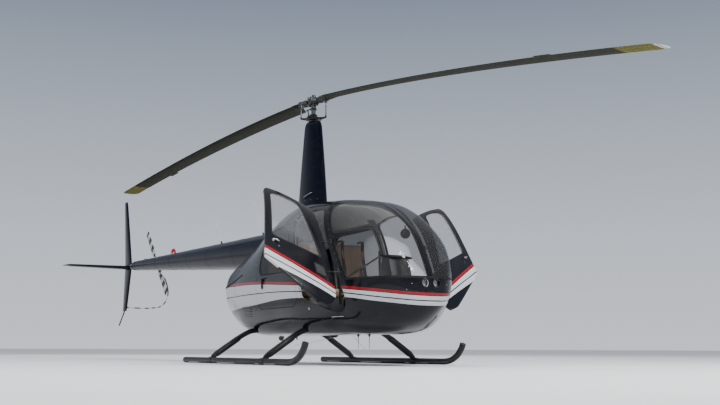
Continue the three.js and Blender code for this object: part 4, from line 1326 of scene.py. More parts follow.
def windshield_trim():
    """Black band round the edge of the windshield, with a row of screws up each side."""
    edge = body_form("windshield_edge_trim", 0.004, -0.0012)
    edge = carved(kept(edge, windshield_block(-0.006)), windshield_block(0.016))
    put(smooth(edge, 30), RUBBER, "black")
    screws = []
    for k in range(13):
        up = 1.77 - 0.067 * k
        forward = WINDSHIELD_FOOT - WINDSHIELD_SLOPE * (up - SILL_Z) + 0.008
        for _, sign in SIDES:
            screws.append(stacked("screw", on_skin(forward, up, sign, 0.0010), (sign, 0, 0.25),
                                  ((0, 0.0042), (0.0014, 0.0034)), 10))
    put(joined("windshield_screws", screws), STEEL, "metal")


def door_edges(gap):
    """Cuts that clear both doors by a gap."""
    return [(rounded(door, DOOR_GAP + gap), BOTH_HALVES) for _, door, _ in DOORS]


def headliner():
    """Pale lining of the roof and the rear corners, with three ribs across."""
    side_view = [(1.16, 1.80), (1.10, 1.60), (0.56, 1.56), (-0.41, 1.42), (-0.41, 2.0), (1.05, 2.0)]
    roof = skin_piece("headliner", 0.006, SKIN + 0.0008, (side_view, (-0.62, 0.62)), *door_edges(0.008))
    put(roof, HEADLINING, "grey")
    for forward in (0.92, 0.30, -0.20):
        arch = [point for point in body_ring(forward, SKIN + 0.010) if point.z > 1.71]
        arch.sort(key=lambda point: point.x)
        rib = swept("roof_rib", arch, 0.010, 10)
        rib.data.transform(Matrix.Translation((0, 0, -0.004)))
        put(rib, HEADLINING, "grey")


def post_lining():
    """Inner faces of the posts between the doors and along the windshield."""
    region = [(1.70, 0.90), (1.19, 1.80), (1.04, 1.80), (1.20, 1.60), (1.60, 0.90)]
    post = skin_piece("front_post_lining", 0.008, SKIN + 0.0005, (region, BOTH_HALVES),
                      door_edges(0.004)[0])
    put(post, PLASTIC, "dark")
    region = [(0.50, 1.70), (0.63, 1.70), (0.90, 0.72), (0.77, 0.72)]
    pillar = skin_piece("centre_post_lining", 0.008, SKIN + 0.0005, (region, BOTH_HALVES),
                        *door_edges(0.004))
    put(pillar, LINING, "grey")


def door_handles():
    """Front doors have a small lever on a round boss, rear doors an upright paddle with a lever."""
    f, u = 0.905, 0.972
    boss = stacked("boss", on_skin(f, u, -1, -0.001), STARBOARDWARD,
                   ((0, 0.017), (0.004, 0.017), (0.007, 0.011), (0.020, 0.010)), 24, 0.001)
    wide = half_width(f, u)
    grip = swept("grip", path((f, -wide - 0.018, u), (f + 0.03, -wide - 0.022, u + 0.003),
                              (f + 0.060, -wide - 0.014, u + 0.004)), [0.008, 0.0065, 0.005])
    on_both_doors(joined("handle", [boss, grip]), "front", "door_handle_front", STEEL, "metal")
    lock = stacked("lock", on_skin(f + 0.075, u - 0.04, -1, -0.001), STARBOARDWARD,
                   ((0, 0.014), (0.003, 0.014), (0.005, 0.009)), 24, 0.0006)
    on_both_doors(lock, "front", "door_lock_front", GEAR_PAINT, "black")
    f, u = -0.147, 1.000
    heights = (1.006, 0.985, 0.930, 0.885, 0.872)
    paddle = swept("paddle", [on_skin(f, height, -1, 0.010) for height in heights],
                   [0.008, 0.013, 0.013, 0.010, 0.006])
    lever = swept("lever", [on_skin(run, u, -1, 0.010) for run in (-0.15, -0.12, -0.07, -0.055)],
                  [0.007, 0.007, 0.0055, 0.004], 14)
    foot = stacked("foot", on_skin(f, 0.965, -1, -0.001), STARBOARDWARD,
                   ((0, 0.021), (0.004, 0.021), (0.006, 0.012), (0.012, 0.011)), 24, 0.001)
    on_both_doors(joined("handle", [paddle, lever, foot]), "rear", "door_handle_rear", GEAR_PAINT, "black")


def door_scoop():
    """Air scoop low on each front door: a dark mesh with a black rim."""
    outline = ((1.385, 0.945, 0.015), (1.500, 0.945, 0.015), (1.560, 0.850, 0.015), (1.445, 0.850, 0.015))
    rim = skin_piece("scoop_rim", 0.004, -0.003, (rounded(outline, 0.006), STARBOARD_HALF),
                     (rounded(outline, -0.004), STARBOARD_HALF))
    on_both_doors(rim, "front", "scoop_rim", RUBBER, "black")
    face = skin_piece("scoop_mesh", 0.002, -0.0006, (rounded(outline, 0.001), STARBOARD_HALF))
    on_both_doors(face, "front", "scoop_mesh", SCOOP_MESH, "black")


def hinge_half(hinge, heights, reach, arm):
    """The knuckles of one half of a door's hinges, each with an arm let into the skin.

    arm gives points as (distance behind the hinge line, height over the skin)."""
    top, foot = (Vector(point) for point in hinge)
    slant = Vector((foot[0] - top[0], top[2] - foot[2])).normalized()
    axis = (place(*top) - place(*foot)).normalized()
    parts = []
    for height in heights:
        share = (height - foot[2]) / (top[2] - foot[2])
        centre = place(*(foot + (top - foot) * share)) + axis * reach * 0.0145
        parts.append(stacked("knuckle", centre - axis * 0.0138, axis, (
            (0, 0.0065), (0.001, 0.0088), (0.0266, 0.0088), (0.0276, 0.0065)), 20, 0.0006))
        line = [centre]
        for behind, above in arm:
            f, u = MAST_Y - centre.y - behind * slant.y, centre.z - behind * slant.x
            line.append(on_skin(f, u, -1, above))
        parts.append(swept("arm", line, 0.0058, 12))
    return parts


def door_hinges():
    """Two knuckle hinges for each door."""
    for which, hinge, heights, frame_arm, door_arm in (
            ("front", HINGE_FRONT, (1.30, 0.98), ((0.045, -0.012),), ((0.098, 0.012), (0.120, -0.010))),
            ("rear", HINGE_REAR, (1.34, 0.96), ((-0.032, -0.012),), ((0.032, -0.012),))):
        name = f"frame_hinge_{which}"
        piece = joined(f"{name}_starboard", hinge_half(hinge, heights, 1, frame_arm))
        for item in (piece, mirrored(piece, f"{name}_port")):
            put(item, GEAR_PAINT, "black")
        leaf = joined("hinge", hinge_half(hinge, heights, -1, door_arm))
        on_both_doors(leaf, which, f"door_hinge_{which}", GEAR_PAINT, "black")


door_linings()
window_seals()
windshield_trim()
headliner()
post_lining()
door_handles()
door_scoop()
door_hinges()


# Seats and their cushions

VOXEL_FRONT, VOXEL_REAR = 0.011, 0.013     # cell size that the cushions are remeshed with
SWELL_CAP = 0.016          # the furthest that a cushion's point may move as it fills
SEAM = 0.006               # depth and width of a sewn channel
CLOTH_SETTINGS = {"quality": 5, "mass": 0.3, "tension_stiffness": 12, "compression_stiffness": 12,
                  "bending_stiffness": 0.8, "use_pressure": True, "uniform_pressure_force": 4}
SEAT_PORTS = (0.09, 0.53)
# Side views of the cushions (forward, up)
SEAT_CUSHION = ((0.4725, 0.7245), (0.92, 0.7435), (0.92, 0.838), (0.49, 0.828))
SEAT_BACKREST = ((0.4295, 0.8365), (0.528, 0.8365), (0.403, 1.428), (0.309, 1.428))
BENCH_CUSHION = ((-0.248, 0.743), (0.148, 0.743), (0.148, 0.838), (-0.235, 0.838))
BENCH_BACKREST = ((-0.352, 0.745), (-0.256, 0.745), (-0.333, 1.375), (-0.398, 1.375))


def move_points(piece, places):
    piece.data.vertices.foreach_set("co", [number for spot in places for number in spot])
    piece.data.update()


def swollen(piece, voxel):
    """Cloth under pressure fills the cushion out; no point moves further than the cap."""
    modified(piece, "REMESH", mode="VOXEL", voxel_size=voxel)
    start = [vertex.co.copy() for vertex in piece.data.vertices]
    hold(piece)
    modifier = piece.modifiers.new("Cloth", "CLOTH")
    for key, value in CLOTH_SETTINGS.items():
        setattr(modifier.settings, key, value)
    modifier.settings.effector_weights.gravity = 0
    for number in range(1, 21):
        bpy.context.scene.frame_set(number)
    bpy.ops.object.modifier_apply(modifier=modifier.name)
    bpy.context.scene.frame_set(1)
    moves = [vertex.co - origin for vertex, origin in zip(piece.data.vertices, start)]
    move_points(piece, [origin + move * min(1.0, SWELL_CAP / max(move.length, 1e-9))
                        for origin, move in zip(start, moves)])
    modified(piece, "SMOOTH", factor=0.5, iterations=3)
    modified(piece, "SUBSURF", levels=1, render_levels=1)


def pressed(piece, seams):
    """Presses sewn channels in along the seams, which lie at these x."""
    places = []
    for vertex in piece.data.vertices:
        near = min(abs(vertex.co.x - seam) for seam in seams)
        places.append(vertex.co - vertex.normal * (SEAM * math.exp(-(near / SEAM) ** 2)))
    move_points(piece, places)


def cushion(name, outline, port0, port1, voxel, spacing, count, node):
    """A crowned leather cushion from its side view, swollen, with seams spaced across it."""
    pad = plate(name, rounded([(f, u, 0.03) for f, u in outline], -0.008, 4), port0 + 0.012, port1 - 0.012)
    bevelled(pad, 0.016, 2, 50)
    swollen(pad, voxel)
    middle = MAST_X + (port0 + port1) / 2
    pressed(pad, [middle + spacing * (k - (count - 1) / 2) for k in range(count)])
    put(smooth(pad, 60), LEATHER, "tan", node)


def front_seats():
    for side, sign in SIDES:
        low, high = sorted(sign * port for port in SEAT_PORTS)
        shell = plate("seat_shell", rounded([
            (0.40, ON_FLOOR, 0.02), (0.90, ON_FLOOR, 0.04), (0.90, 0.738, 0.03), (0.45, 0.719, 0.05),
            (0.308, 1.398, 0.01), (0.281, 1.398, 0.01)]), low, high)
        put(smooth(bevelled(shell, 0.008, 3, 40)), PLASTIC, "grey", f"front_seat_{side}")
        cushion(f"front_cushion_leather_{side}", SEAT_CUSHION, low - 0.008, high + 0.008, VOXEL_FRONT,
                0.085, 4, f"front_cushion_{side}")
        cushion(f"front_backrest_leather_{side}", SEAT_BACKREST, low + 0.006, high - 0.006, VOXEL_FRONT,
                0.085, 4, f"front_backrest_{side}")
        box = box_at("seat_box_front", (0.8996, 0.904), (low + 0.02, high - 0.02), (FLOOR_Z + 0.02, 0.70),
                     0.003)
        put(box, PLASTIC, "dark")


def rear_seat():
    bench = box_at("rear_bench_box", (-0.36, 0.118), (-0.54, 0.54), (ON_FLOOR, 0.7385), 0.012, 3)
    put(smooth(kept(bench, room_inside())), LINING, "grey", "rear_bench")
    cushion("rear_cushion_leather", BENCH_CUSHION, -0.535, 0.535, VOXEL_REAR, 0.107, 9, "rear_cushion")
    cushion("rear_backrest_leather", BENCH_BACKREST, -0.455, 0.455, VOXEL_REAR, 0.10, 8, "rear_backrest")


def strap(name, points, width, thick):
    """A flat webbing strap along points, level across."""
    across = Vector(PORTWARD)
    line = curved(points, 5)
    rings = []
    for i, point in enumerate(line):
        up = heading(line, i).cross(across).normalized()
        rings.append([point + across * (x * width / 2) + up * (y * thick / 2)
                      for x, y in ((-1, -0.6), (-0.94, -1), (0.94, -1), (1, -0.6), (1, 0.6), (0.94, 1),
                                   (-0.94, 1), (-1, 0.6))])
    return smooth(wrapped(name, rings), 50)


def seat_belts():
    """Shoulder belts of each front seat, laid over the cushions, with a buckle."""
    for side, sign in SIDES:
        straps = [strap("belt", path((0.325, p, 1.432), (0.42, p, 1.443), (0.432, p, 1.30),
                                     (0.495, p, 1.05), (0.548, p, 0.90), (0.60, p, 0.862)), 0.044, 0.0018)
                  for p in (sign * 0.17, sign * 0.45)]
        put(joined(f"seat_belts_{side}", straps), WEBBING, "dark")
        middle = sign * 0.31
        buckle = box_at(f"belt_buckle_{side}", (0.585, 0.640), (middle - 0.025, middle + 0.025),
                        (0.860, 0.876), 0.004, 3)
        put(buckle, STEEL, "metal")


# Controls and instruments

CONSOLE_FACE = (Vector((1.60, 0.80)), Vector((1.742, 1.148)))      # foot and head, (forward, up)
DIAL_ROWS = ((0.86, (-0.070, 0.0, 0.070), 0.030), (0.66, (-0.070, 0.0, 0.070), 0.030),
             (0.46, (-0.080, -0.030, 0.030, 0.080), 0.019))        # share of the face, ports, radius


def dial_mark(centre, facing, degrees, start, end, width):
    """A short raised mark on a dial, from one radius to another."""
    side = Vector(PORTWARD)
    angle = math.radians(degrees)
    way = side * math.sin(angle) + facing.cross(side).normalized() * math.cos(angle)
    across = facing.cross(way).normalized()
    rings = [[centre + way * r + across * (width / 2 * a) + facing * b * 0.0004
              for a, b in ((-1, -1), (1, -1), (1, 1), (-1, 1))] for r in (start, end)]
    return wrapped("mark", rings)


def instruments():
    """Round instruments in three rows, each with a bezel, a dial, ten marks and a hand."""
    low, high = CONSOLE_FACE
    slope = (high - low).normalized()
    facing = (place(0, 0, 0) - place(slope.y, 0, -slope.x)).normalized()
    bezels, dials, hands = [], [], []
    for share, ports, radius in DIAL_ROWS:
        spot = low + (high - low) * share
        face = radius - 0.004
        for port in ports:
            centre = place(spot.x, port, spot.y) + facing * 0.001
            bezels.append(stacked("bezel", centre, facing, (
                (-0.002, radius), (0.006, radius), (0.007, radius - 0.003), (0.003, face)), 28, 0.0006))
            dials.append(cylinder("dial", centre, facing, face, 0.0024, 28))
            hands += [dial_mark(centre + facing * 0.0030, facing, -150 + 33 * k, radius * 0.62, radius * 0.80,
                                0.0009) for k in range(10)]
            hands.append(dial_mark(centre + facing * 0.0034, facing, 20 + port * 900, 0.0, radius * 0.60,
                                   0.0014))
    put(joined("instrument_bezels", bezels), GEAR_PAINT, "dark")
    put(joined("instrument_dials", dials), RUBBER, "dark")
    put(joined("instrument_hands", hands), WHITE_PAINT, "lamp")


def console():
    low, high = CONSOLE_FACE
    body = plate("console_body", rounded([
        (1.52, ON_FLOOR, 0.01), (1.86, ON_FLOOR, 0.02), (1.96, 0.80, 0.12), (1.862, 1.118, 0.02),
        (*high, 0.02), (*low, 0.10)]), -0.128, 0.128)
    put(smooth(bevelled(body, 0.010, 3, 40)), PLASTIC, "dark", "instrument_console")
    instruments()
    hood = plate("console_hood", rounded([(1.72, 1.150, 0.01), (1.75, 1.168, 0.01), (1.90, 1.135, 0.02),
                                         (1.875, 1.116, 0.01)]), -0.150, 0.150)
    put(smooth(bevelled(hood, 0.004, 2, 40)), RUBBER, "dark")


def control_stick():
    """Centre post, tilting bar and the two hanging grips."""
    f, u = 1.10, 1.06          # the bar's pivot
    reach, rise = 0.26, 0.155  # from the pivot to an end of the bar
    post = curved(path((1.20, 0, FLOOR_Z + 0.001), (1.215, 0, 0.66), (1.21, 0, 0.82), (1.15, 0, 0.96),
                       (f, 0, u)), 5)
    parts = [
        swept("post", post, 0.013, 20),
        swept("bar", path((f, -reach, u - rise), (f, 0, u), (f, reach, u + rise)), 0.0105, 18),
        stacked("pivot", place(f + 0.020, 0, u), TAILWARD,
                ((0, 0.018), (0.004, 0.022), (0.036, 0.022), (0.040, 0.018)), 28, 0.001),
    ]
    put(joined("control_stick", parts), GEAR_PAINT, "dark", "cyclic_stick")
    boot = stacked("stick_boot", place(1.20, 0, ON_FLOOR), UP, (
        (0, 0.050), (0.006, 0.050), (0.010, 0.042), (0.016, 0.044), (0.022, 0.036), (0.028, 0.038),
        (0.036, 0.028), (0.044, 0.030), (0.054, 0.018)), 28, 0.001)
    put(boot, RUBBER, "dark")
    grips = []
    for _, sign in SIDES:
        p, end = sign * reach, u + sign * rise
        line = [place(f + run, p, end + drop) for run, drop in (
            (0.004, 0.05), (0, 0.02), (-0.004, -0.08), (0.004, -0.19), (0.012, -0.24))]
        radii = [0.010] + [0.0155] * 6 + [0.0135] * 6 + [0.0155] * 7 + [0.012]
        grips.append(swept("grip", curved(line, 5), radii, 18))
        grips.append(box_at("switch", (f - 0.022, f + 0.012), (p - 0.010, p + 0.010),
                            (end + 0.030, end + 0.058)))
    put(joined("stick_grips", grips), RUBBER, "dark")


def collectives():
    """A lifting lever at the inner side of each front seat."""
    for side, p in (("starboard", -0.055), ("port", 0.060)):
        lever = swept(f"collective_lever_{side}", path((0.46, p, 0.56), (0.62, p, 0.66), (0.80, p, 0.76),
                                                       (0.93, p, 0.84)), [0.011, 0.011, 0.010, 0.010])
        put(lever, GEAR_PAINT, "dark")
        grip = swept(f"collective_grip_{side}", path((0.86, p, 0.797), (0.87, p, 0.803), (0.965, p, 0.863),
                                                     (0.972, p, 0.868)), [0.013, 0.0165, 0.0165, 0.013], 18)
        put(grip, RUBBER, "dark")
        foot = box_at(f"collective_foot_{side}", (0.41, 0.50), (p - 0.016, p + 0.016), (ON_FLOOR, 0.585),
                      0.006, 3)
        put(foot, PLASTIC, "dark")


def pedals():
    for side, sign in SIDES:
        parts = []
        for offset in (-0.085, 0.085):
            p = sign * 0.29 + offset
            line = path((1.74, p, FLOOR_Z + 0.001), (1.76, p, 0.58), (1.745, p, 0.66))
            parts.append(swept("arm", curved(line, 4), 0.008, 14))
            parts.append(box_at("pad", (1.728, 1.742), (p - 0.045, p + 0.045), (0.640, 0.700)))
        put(joined(f"pedals_{side}", parts), ALUMINIUM, "metal")


def cabin_floor():
    """Floor panel between the skins, covered in carpet, with loose mats and a seat track."""
    thick = (FLOOR_Z + 0.0005, FLOOR_Z + 0.008)
    for name, run, ports in (("starboard", (0.93, 1.48), (-0.50, -0.03)),
                             ("port", (0.93, 1.48), (0.03, 0.50)), ("rear", (0.13, 0.38), (-0.50, 0.50))):
        put(box_at(f"floor_mat_{name}", run, ports, thick, 0.003), CARPET, "grey")
    floor = box_at("cabin_floor_panel", (-0.405, 2.195), (-0.9, 0.9), (0.4705, FLOOR_Z), 0.002)
    put(smooth(kept(floor, room_inside())), CARPET, "grey", "cabin_floor")
    track = box_at("seat_track", (0.55, 0.86), (-0.02, 0.02), (FLOOR_Z + 0.0004, FLOOR_Z + 0.03))
    put(track, ALUMINIUM, "metal")


def cylinder_parts(forward, side):
    """One finned cylinder of the engine with its rocker cover and intake pipe."""
    fins = []
    reach = 0.112
    while reach < 0.215:
        fins += [(reach, 0.066), (reach + 0.004, 0.066), (reach + 0.0045, 0.050), (reach + 0.010, 0.050)]
        reach += 0.0105
    pipe = path((forward - 0.03, side * 0.19, 0.640), (forward - 0.03, side * 0.17, 0.57),
                (-0.89, side * 0.09, 0.530))
    return [
        stacked("barrel", place(forward, 0, 0.68), (side, 0, 0), fins, 28),
        box_at("rocker", (forward - 0.062, forward + 0.062), (side * 0.214, side * 0.258), (0.625, 0.735),
               0.012, 3),
        swept("intake", curved(pipe, 4), 0.016, 14),
    ]


def engine():
    """Crankcase with four cylinders and a fan housing; the firewall keeps its shape in bare metal."""
    for slot in frame["nodes"]["firewall"].material_slots:
        slot.material = FIREWALL
    parts = [box_at("case", (-1.10, -0.66), (-0.115, 0.115), (0.56, 0.80), 0.02, 3),
             box_at("sump", (-1.02, -0.72), (-0.10, 0.10), (0.502, 0.575), 0.015, 3)]
    for _, side in SIDES:
        parts += cylinder_parts(-0.78, side) + cylinder_parts(-1.00, side)
    parts.append(stacked("fan_hub", place(-1.145, 0, 0.70), NOSEWARD, (
        (0, 0.150), (0.008, 0.158), (0.036, 0.158), (0.044, 0.120), (0.050, 0.060)), 48, 0.002))
    put(joined("engine_assembly", parts), CAST, "metal", "engine_block")


def compass():
    """Round compass hung on the windshield's centre strip."""
    centre = place(1.985, 0.0, 1.372)
    case = stacked("compass_case", centre + Vector((0, -0.030, 0)), TAILWARD, (
        (0, 0.036), (0.006, 0.046), (0.020, 0.052), (0.046, 0.052), (0.058, 0.047), (0.061, 0.040),
        (0.057, 0.036)), 40, 0.002)
    arm = swept("compass_arm", [centre + Vector(step) for step in (
        (0, -0.002, 0.03), (0, 0.006, 0.065), (0, 0.006, 0.085))], 0.008, 12)
    put(joined("compass", [case, arm]), RUBBER, "dark")
    card = stacked("compass_card", centre + Vector((0, 0.026, 0)), TAILWARD, ((0, 0.035), (0.003, 0.034)), 36)
    put(card, WHITE_PAINT, "lamp")


front_seats()
rear_seat()
seat_belts()
console()
control_stick()
collectives()
pedals()
cabin_floor()
engine()
compass()


# Lamps in the nose

def nose_lamps():
    """Each lamp's bowl and bulb behind a lens and a ring cut from the nose skin."""
    f, p, u = LAMP
    for side, sign in SIDES:
        front, spot = place(f, sign * p, u), place(f + 0.02, sign * p, u)
        bowl = stacked("lamp_bowl", spot, NOSEWARD, (
            (0, 0.012), (0.010, 0.024), (0.030, 0.034), (0.060, 0.041), (0.088, 0.0445), (0.0885, 0.0425),
            (0.060, 0.039), (0.030, 0.032), (0.012, 0.022), (0.004, 0.012)), 40)
        put(bowl, REFLECTOR, "lamp")
        bulb = stacked("lamp_bulb", spot, NOSEWARD, (
            (0.005, 0.008), (0.022, 0.008), (0.030, 0.013), (0.044, 0.013), (0.052, 0.007)), 24, 0.001)
        put(bulb, LAMP_GLASS, "lamp")
        lens = kept(body_form("landing_lamp_lens", 0.005, 0.002),
                    cylinder("tool", front, NOSEWARD, 0.0455, 0.2, 48))
        put(smooth(lens), LAMP_GLASS, "lamp", f"landing_lamp_{side}")
        ring = kept(body_form("lamp_ring", 0.008, -0.0015),
                    cylinder("tool", front, NOSEWARD, 0.050, 0.2, 48))
        ring = carved(ring, cylinder("tool", front, NOSEWARD, 0.044, 0.25, 48))
        put(smooth(ring), GEAR_PAINT, "black")


nose_lamps()


# Small fittings on the outside

def skin_facing(forward, up, side):
    """Outward direction of the body's side at a station and height."""
    here = on_skin(forward, up, side)
    along = on_skin(forward + 0.01, up, side) - here
    rise = on_skin(forward, up + 0.01, side) - here
    return along.cross(rise).normalized() * -side


def at_share(forward, share):
    """Station and height of a point on a section, from the belly (0) to the crown (1)."""
    _, low, high, *_ = section_at(forward)
    return forward, low + (high - low) * share


def bead(name, spots, steps, side, out, radius, sides):
    """A raised line through (forward, up) spots on the body's side, thin at its ends."""
    points = curved([on_skin(f, u, side, out) for f, u in spots], steps)
    return swept(name, points, [0.002] + [radius] * (len(points) - 2) + [0.002], sides)


def fasteners(name, spots, radius):
    """Flush screws with a dished head at (forward, up) spots on both sides."""
    heads = []
    for _, side in SIDES:
        for forward, up in spots:
            facing = skin_facing(forward, up, side)
            heads.append(stacked("screw", on_skin(forward, up, side) - facing * 0.0004, facing, (
                (0, radius), (0.0013, radius * 0.8), (0.0008, radius * 0.35)), 12))
    put(joined(name, heads), STEEL, "black")


def panel_screws():
    shares = (0.12, 0.22, 0.34, 0.46, 0.58, 0.70, 0.82, 0.92)
    fasteners("belly_seam_screws", [at_share(f / 100, 0.105) for f in range(-130, 190, 16)], 0.0035)
    fasteners("firewall_seam_screws", [at_share(f, share) for f in (-0.435, -0.405) for share in shares],
              0.0040)
    fasteners("cowl_screws", [at_share(-1.20, share) for share in (0.15, 0.30, 0.45, 0.60, 0.75)], 0.0048)
    fasteners("nose_screws", [(2.408, 0.822), (2.380, 0.760)], 0.0055)


def cowl_lips():
    """Flared lip of the cooling air outlet on each side of the cowl, with a near-black line below it that is
    painted shadow under the lip.
    """
    line = ((-0.955, 1.098), (-1.15, 1.062), (-1.36, 1.020), (-1.52, 0.985), (-1.605, 0.960))
    # the painted shadow line runs 15 mm below the lip
    under = [(f, u - 0.015) for f, u in line]
    for word, side in SIDES:
        put(bead(f"cowl_lip_{word}", line, 5, side, 0.005, 0.0075, 14), PAINT_TRIM, "black")
        # painted shadow: a near-black line half sunk in the skin just below the lip, standing for the shade
        # that the lip casts
        put(bead(f"cowl_lip_shadow_{word}", under, 5, side, -0.002, 0.008, 12), SCOOP_MESH, "black")


def cowl_louvres():
    """Row of pressed louvres on each side of the engine cowl."""
    for word, side in SIDES:
        slats = [bead("louvre", [(f, 0.560 + 0.030 * k) for f in (-0.86, -0.78, -0.70, -0.60, -0.52)], 3,
                      side, 0.003, 0.0062, 12) for k in range(5)]
        put(joined(f"cowl_louvres_{word}", slats), PAINT_TRIM, "black")


def panel_lines():
    """Dark joints between the body's panels."""
    lines = ([at_share(f / 100, 0.085) for f in range(-140, 216, 12)],
             [at_share(-1.185, k / 20) for k in range(2, 19)])
    seams = [swept("seam", [on_skin(f, u, side, 0.0001) for f, u in line], 0.0013, 8)
             for _, side in SIDES for line in lines]
    put(joined("panel_joints", seams), RUBBER, "black")


def side_fittings():
    """Drain caps and a step strip along the sides."""
    caps = ((1.048, 0.605, 0.016), (*at_share(-0.253, 0.035), 0.012), (1.458, 0.502, 0.008))
    for word, side in SIDES:
        parts = []
        for forward, up, radius in caps:
            facing = skin_facing(forward, up, side)
            parts.append(stacked("cap", on_skin(forward, up, side) - facing * 0.002, facing, (
                (0, radius), (0.005, radius), (0.007, radius * 0.7), (0.0045, radius * 0.55)), 28, 0.0006))
        put(joined(f"drain_caps_{word}", parts), STEEL, "metal")
        spots = [(f, 0.508) for f in (1.44, 1.50, 1.58, 1.66)]
        put(bead(f"step_strip_{word}", spots, 3, side, 0.002, 0.0048, 12), ALUMINIUM, "metal")


def fuel_caps():
    for word, side, station in (("starboard", -1, -0.54), ("port", 1, -0.60)):
        forward, up = at_share(station, 0.86)
        facing, spot = skin_facing(forward, up, side), on_skin(forward, up, side)
        cap = stacked(f"fuel_cap_{word}", spot - facing * 0.006, facing, (
            (0, 0.046), (0.010, 0.046), (0.012, 0.040), (0.018, 0.038), (0.020, 0.030)), 36, 0.001)
        wing = swept("wing", [spot + facing * out + Vector((0, run, 0)) for out, run in (
            (0.016, -0.028), (0.022, 0), (0.016, 0.028))], [0.004, 0.0065, 0.004], 12)
        put(joined(f"fuel_cap_{word}", [cap, wing]), ALUMINIUM, "metal")


def fairing_fittings():
    """Grab handle low on the mast fairing and the screws of its foot."""
    grab = curved(path((-0.005, -0.106, 1.985), (0.005, -0.128, 1.992), (0.075, -0.126, 2.012),
                       (0.140, -0.116, 2.030), (0.146, -0.094, 2.034)), 4)
    put(swept("fairing_grab", grab, 0.0055, 14), STEEL, "metal")
    wide, long = 0.105, 0.291      # half axes of the fairing at its screws
    heads = []
    for k in range(14):
        angle = 2 * math.pi * (k + 0.5) / 14
        s, c = math.sin(angle), -math.cos(angle)
        facing = Vector((s / wide, c / long, 0)).normalized()
        spot = place(0, 0, 1.955) + Vector((s * wide, c * long, 0)) + facing * 0.0005
        heads.append(stacked("screw", spot, facing, ((0, 0.0055), (0.0035, 0.0045)), 12))
    put(joined("fairing_screws", heads), STEEL, "metal")


def belly_fittings():
    """Whip aerials with their stays, a drain, the exhaust outlet and a blister below the belly."""
    whips = []
    for f in (1.060, 1.288):
        whips.append(stacked("aerial_foot", place(f, 0, 0.334), DOWN,
                             ((0, 0.020), (0.008, 0.020), (0.018, 0.008), (0.030, 0.006)), 24, 0.001))
        whips.append(swept("aerial", path((f, 0, 0.320), (f, 0, 0.25), (f, 0, 0.172)),
                           [0.0040, 0.0030, 0.0022], 12))
    put(joined("belly_aerials", whips), GEAR_PAINT, "black")
    drain = stacked("belly_drain", place(0.180, -0.30, 0.337), (0.2, 0.1, -1),
                    ((0, 0.014), (0.018, 0.012), (0.050, 0.008), (0.064, 0.003)), 20, 0.0006)
    put(drain, GEAR_PAINT, "black")
    outlet = curved(path((-1.00, 0.16, 0.44), (-1.03, 0.16, 0.37), (-1.07, 0.165, 0.325),
                         (-1.10, 0.17, 0.305)), 5)
    pipe = swept("exhaust_pipe", outlet, 0.034, 28)
    pipe = carved(pipe, swept("tool", outlet[6:] + [place(-1.20, 0.19, 0.24)], 0.030, 28))
    put(pipe, BURNT_STEEL, "metal")
    blister = stacked("belly_blister", place(0.02, 0.30, 0.338), DOWN,
                      ((0, 0.060), (0.012, 0.056), (0.024, 0.040), (0.030, 0.020)), 36, 0.002)
    put(blister, PAINT_TRIM, "black")
    stays = [swept("stay", path(*line), 0.0016, 8) for line in (
        ((0.10, 0.28, 0.318), (0.02, 0.06, 0.265), (-0.05, -0.20, 0.215)),
        ((0.92, 0.02, 0.322), (1.04, 0.02, 0.245), (1.17, 0.02, 0.175)))]
    put(joined("belly_stays", stays), STEEL, "metal")


panel_screws()
cowl_lips()
cowl_louvres()
panel_lines()
side_fittings()
fuel_caps()
fairing_fittings()
belly_fittings()


# Floor, light and camera

SKY = ((0.0, (0.78, 0.82, 0.88)), (0.10, (0.66, 0.71, 0.79)), (0.34, (0.24, 0.29, 0.38)),
       (1.0, (0.16, 0.20, 0.29)))           # height in the sky and its colour
LIGHTS = (("key_light", (1.2, -12, 9.5), 2.6, 2300), ("side_light", (-10, -3, 8), 7, 700),
          ("back_light", (5, 11, 10), 11, 900))        # name, place, size and power
CAMERA_PLACE = (10.634, -5.998, 0.176)      # forward, port, up
CAMERA_HEADING = 147.86                     # degrees from the nose line toward port
CAMERA_PITCH = 8.25
CAMERA_ROLL = 0.17
FOCAL_PIXELS = 1009.25
FRAME_PIXELS = 720
SENSOR = 36


def studio_floor():
    deselect()
    bpy.ops.mesh.primitive_plane_add(size=400, location=(0, 0, -0.0005))
    floor = fresh("studio_floor")
    f = Finish("pale_floor", (0.72, 0.73, 0.74), 0.85)
    f.colour(f.blend(f.noise(0.6, 4.0), 0.3, 0.7, (0.70, 0.71, 0.72), (0.75, 0.755, 0.76)))
    floor.data.materials.append(f.material)


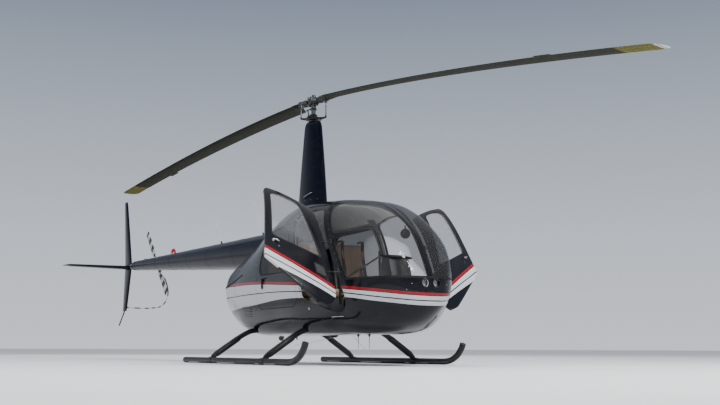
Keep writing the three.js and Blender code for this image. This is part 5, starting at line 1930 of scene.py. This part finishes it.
def sky():
    world = bpy.data.worlds.new("studio_world")
    bpy.context.scene.world = world
    world.use_nodes = True
    nodes, links = world.node_tree.nodes, world.node_tree.links
    split = nodes.new("ShaderNodeSeparateXYZ")
    links.new(nodes.new("ShaderNodeTexCoord").outputs["Generated"], split.inputs[0])
    ramp = nodes.new("ShaderNodeValToRGB")
    links.new(split.outputs[2], ramp.inputs[0])
    links.new(ramp.outputs[0], nodes["Background"].inputs[0])
    stops = ramp.color_ramp.elements
    for i, (position, colour) in enumerate(SKY):
        stop = stops[0] if i == 0 else stops.new(position)
        stop.position = position
        stop.color = (*colour, 1)
    stops.remove(stops[-1])
    nodes["Background"].inputs[1].default_value = 1.0


def area_light(name, spot, size, power):
    deselect()
    bpy.ops.object.light_add(type="AREA", location=spot)
    light = bpy.context.active_object
    light.name = name
    light.data.energy = power
    light.data.size = size
    return light


def lights():
    """Three soft lights, of which only the key light is mirrored, and a glow inside the cabin."""
    for name, spot, size, power in LIGHTS:
        light = area_light(name, spot, size, power)
        light.visible_glossy = name == "key_light"
        light.rotation_euler = (Vector((0, -1, 1)) - Vector(spot)).to_track_quat("-Z", "Y").to_euler()
    glow = area_light("cabin_light", place(1.5, 0, 0.80), 0.4, 13)
    glow.rotation_euler = (math.pi, 0, 0)
    glow.visible_camera = False


def camera():
    data = bpy.data.cameras.new("camera")
    eye = bpy.data.objects.new("camera", data)
    bpy.context.scene.collection.objects.link(eye)
    bpy.context.scene.camera = eye
    data.sensor_width = SENSOR
    data.lens = SENSOR * FOCAL_PIXELS / FRAME_PIXELS
    data.clip_end = 500
    heading_angle, pitch, roll = (math.radians(a) for a in (CAMERA_HEADING, CAMERA_PITCH, CAMERA_ROLL))
    s, c = math.sin(heading_angle), math.cos(heading_angle)
    toward = Vector((s * math.cos(pitch), -c * math.cos(pitch), math.sin(pitch)))
    right = Vector((-c, -s, 0))
    up = right.cross(toward)
    right, up = (right * math.cos(roll) + up * math.sin(roll), up * math.cos(roll) - right * math.sin(roll))
    turn = Matrix((right, up, -toward)).transposed()
    eye.matrix_world = Matrix.Translation(place(*CAMERA_PLACE)) @ turn.to_4x4()


studio_floor()
sky()
lights()
camera()
